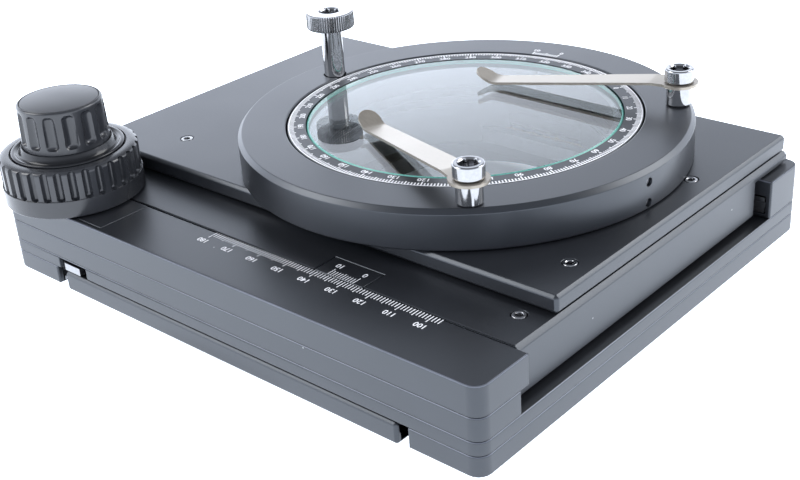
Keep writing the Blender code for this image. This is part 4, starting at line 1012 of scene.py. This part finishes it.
def roundNumbers(centre, numbered, d):
    # numbers from (value, degrees) on a circle, with their feet towards its centre
    entries = []
    for value, degrees in numbered:
        x, y = onCircle(centre, d["numberRadius"], degrees)
        entries.append((str(value), x, y, math.radians(degrees) - math.pi / 2, d["numberSize"]))
    return entries


def radialStrokes(centre, outer, lengths, turns, width):
    # ticks that point at a centre and end on a circle
    middle = outer - lengths / 2
    away = np.stack([middle * np.cos(turns), middle * np.sin(turns)], axis=-1)
    centres = np.array(centre[:2]) + away
    halves = np.stack([lengths / 2, np.full(len(lengths), width / 2)], axis=-1)
    return centres, halves, turns


scaleDesign = {
    "values": np.arange(97, 181), "numbered": range(100, 181, 10), "zero": 100, "pitch": 1.0 * mm,
    "zeroFromRight": 28.7 * mm, "way": -1, "inset": 0.06 * mm, "long": 3.3 * mm,
    "middle": 2.75 * mm, "short": 2.3 * mm, "width": 0.27 * mm, "numberInset": 5.3 * mm,
    "numberSize": 2.6 * mm,
}
vernierDesign = {
    "values": np.arange(11), "numbered": (0, 10), "zero": 0, "pitch": 0.9 * mm,
    "zeroFromRight": 3.5 * mm, "way": 1, "inset": 0.1 * mm, "long": 3.1 * mm,
    "middle": 2.635 * mm, "short": 2.3 * mm, "width": 0.24 * mm, "numberInset": 5.0 * mm,
    "numberSize": 2.6 * mm,
}


def straightMarks(name, body, low, high, d):
    # even ticks from the rear edge of a box forwards, or from its front edge backwards
    edge = (low if d["way"] > 0 else high)[1] + d["way"] * d["inset"]
    x = high[0] - d["zeroFromRight"] - (d["values"] - d["zero"]) * d["pitch"]
    lengths = tickLengths(d["values"], d["long"], d["middle"], d["short"])
    centres = np.stack([x, edge + d["way"] * lengths / 2], axis=-1)
    halves = np.stack([np.full(len(x), d["width"] / 2), lengths / 2], axis=-1)
    y = edge + d["way"] * d["numberInset"]
    entries = [(str(value), x[value - d["values"][0]], y, math.pi, d["numberSize"])
               for value in d["numbered"]]
    strokeSet = centres, halves, np.zeros(len(x))
    inkPiece(name, body, strokeSet, entries, high[2] + ink["gapAbove"])


dialMarkDesign = {
    "zeroDegrees": 56.0, "outer": 53.15 * mm, "line": 0.3 * mm, "long": 2.5 * mm,
    "middle": 2.1 * mm, "short": 1.7 * mm, "width": 0.42 * mm, "numberRadius": 49.3 * mm,
    "numberSize": 2.45 * mm,
}


def dialMarks():
    # one tick to the degree, clockwise, hanging from a thin circle, and a number at each ten
    d = dialMarkDesign
    centre, high = nodeAxis("dial_ring")[::3]
    degree = np.arange(360)
    turns = np.radians(d["zeroDegrees"] - degree)
    lengths = tickLengths(degree, d["long"], d["middle"], d["short"])
    numbered = [(tens, d["zeroDegrees"] - tens) for tens in range(0, 360, 10)]
    line = d["line"]
    ticks = radialStrokes(centre, d["outer"] - line, lengths - line, turns, d["width"])
    pitch = 2 * math.pi * d["outer"] / len(degree)
    circle = radialStrokes(centre, d["outer"], np.full(len(degree), line), turns, pitch)
    strokeSet = [np.concatenate(pair) for pair in zip(ticks, circle)]
    entries = roundNumbers(centre, numbered, d)
    inkPiece("dialMarks", "dial", strokeSet, entries, high + ink["gapAbove"])


ringVernierDesign = {
    "firstDegrees": 94.5, "pitchDegrees": 0.9, "count": 11, "inner": 54.2 * mm, "long": 2.5 * mm,
    "short": 1.7 * mm, "width": 0.42 * mm, "numberRadius": 58.0 * mm, "numberSize": 2.45 * mm,
}


def ringVernierMarks():
    # ten divisions of 0.9 degrees on the housing beside the dial, numbered 0 and 10
    d = ringVernierDesign
    centre, high = nodeAxis("ring_housing")[::3]
    step = np.arange(d["count"])
    degrees = d["firstDegrees"] + step * d["pitchDegrees"]
    lengths = tickLengths(step, d["long"], d["long"], d["short"])
    outer = d["inner"] + lengths
    strokeSet = radialStrokes(centre, outer, lengths, np.radians(degrees), d["width"])
    entries = roundNumbers(centre, [(0, degrees[0]), (10, degrees[10])], d)
    inkPiece("ringVernierMarks", "slide", strokeSet, entries, high + ink["gapAbove"])


# one tick to the millimetre, numbered each ten, and ten divisions of 0.9 mm beside it
straightMarks("scaleMarks", "frame", *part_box("scale_block"), scaleDesign)
straightMarks("vernierMarks", "slide", *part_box("vernier_plate"), vernierDesign)
dialMarks()
ringVernierMarks()
print("scales engraved")


# Studio and camera
studio = {
    "floorSize": 6.0, "floor": (0.86, 0.87, 0.88), "floorGlow": 1.62, "floorRoughness": 0.6,
    "floorCloud": 3, "cloudGloss": 0.1, "shade": (0.065, 0.085), "shadeGlow": (0.02, 0.02, 0.022),
    "glowLeft": (0.72, 0.80, 0.92), "glowRight": (0.95, 1.02, 1.12), "glowReach": 0.5,
    "sky": (0.82, 0.88, 1.0), "skyAcross": (-0.68, -0.45), "skyStrength": (1.0, 0.70),
    "skyStops": ((0.0, 3.0), (0.30, 4.0), (0.37, 2.8), (0.42, 1.9), (0.49, 1.05), (0.6, 0.8),
                 (1.0, 0.7)),
    "lights": {"leftLight": (-0.55, -0.50, 0.67), "rightLight": (0.47, 0.63, 0.62)},
    "lightSize": 0.5, "lightPower": 5, "lightsAim": (0, 0, 0.03),
}


def areaLight(name, place):
    # a square soft light that faces the stage
    light = bpy.data.lights.new(name, "AREA")
    light.size = studio["lightSize"]
    light.energy = studio["lightPower"]
    holder = newObject(name, light)
    look = Vector(studio["lightsAim"]) - Vector(place)
    holder.location = place
    holder.rotation_euler = look.to_track_quat("-Z", "Y").to_euler()


def buildSky():
    # a soft tent: its brightness follows the height above the horizon and is strongest at the left
    world = bpy.data.worlds.new("studioWorld")
    world.use_nodes = True
    sky = Shading(world.node_tree)
    direction = sky.node("TexCoord", out="Generated")
    most = max(level for height, level in studio["skyStops"])
    stops = [(height, toned(studio["sky"], level / most)) for height, level in studio["skyStops"]]
    upward = sky.node("SeparateXYZ", {}, {0: direction}, out="Z")
    sideways = sky.node("SeparateXYZ", {}, {0: direction}, out="X")
    colour = sky.node("ValToRGB", {"stops": stops}, {"Fac": upward})
    left, right = studio["skyStrength"]
    strength = sky.spread(sideways, *studio["skyAcross"], most * left, most * right)
    background = sky.tree.nodes["Background"]
    sky.tree.links.new(colour.socket, background.inputs["Color"])
    sky.tree.links.new(strength.socket, background.inputs["Strength"])
    bpy.context.scene.world = world


def floorFinish():
    # its glow grows brighter along x; a dark round patch under the stage keeps glare out of the
    # glass
    made = Finish("paleFloor", studio["floor"], Roughness=studio["floorRoughness"],
                  Emission_Strength=studio["floorGlow"])
    cloud = made.noise(studio["floorCloud"], 2)
    made.feed("Roughness", studio["floorRoughness"] + studio["cloudGloss"] * (cloud - 0.5))
    x = made.node("SeparateXYZ", {}, {0: made.place}, out="X")
    y = made.node("SeparateXYZ", {}, {0: made.place}, out="Y")
    across = made.spread(x, -studio["glowReach"], studio["glowReach"])
    glow = made.blendColour(across, studio["glowLeft"], studio["glowRight"])
    near, far = studio["shade"]
    patch = 1 - made.spread(x * x + y * y, near ** 2, far ** 2)
    made.feed("Emission Color", made.blendColour(patch, glow, studio["shadeGlow"]))
    return made.material


def buildStudio():
    # a flat grid for the floor, the sky and the lights
    size = studio["floorSize"] / 2
    span = np.linspace(-size, size, 3)
    x, y = np.meshgrid(span, span, indexing="ij")
    mesh = gridMesh(np.stack([x, y, np.zeros_like(x)], axis=-1), False, False)
    mesh.materials.append(floorFinish())
    floor = newObject("floor", mesh)
    buildSky()
    for name, place in studio["lights"].items():
        areaLight(name, place)
    bpy.context.scene.view_settings.view_transform = "Standard"


camera = {
    "place": (0.24436, -0.26086, 0.18639), "aim": (0.03266, -0.03356, 0.0272),
    "rollDegrees": -3.993, "lens": 57.32, "sensor": 36.0, "near": 0.01, "far": 20,
}


def buildCamera():
    # looks from its place at its aim, and rolls about that line
    lens = bpy.data.cameras.new("camera")
    lens.lens = camera["lens"]
    lens.sensor_width = camera["sensor"]
    lens.clip_start = camera["near"]
    lens.clip_end = camera["far"]
    holder = newObject("camera", lens)
    look = Vector(camera["aim"]) - Vector(camera["place"])
    roll = Matrix.Rotation(math.radians(camera["rollDegrees"]), 3, "Z")
    turn = look.to_track_quat("-Z", "Y").to_matrix() @ roll
    holder.matrix_world = Matrix.Translation(camera["place"]) @ turn.to_4x4()
    bpy.context.scene.camera = holder


buildStudio()
buildCamera()
print("studio ready")
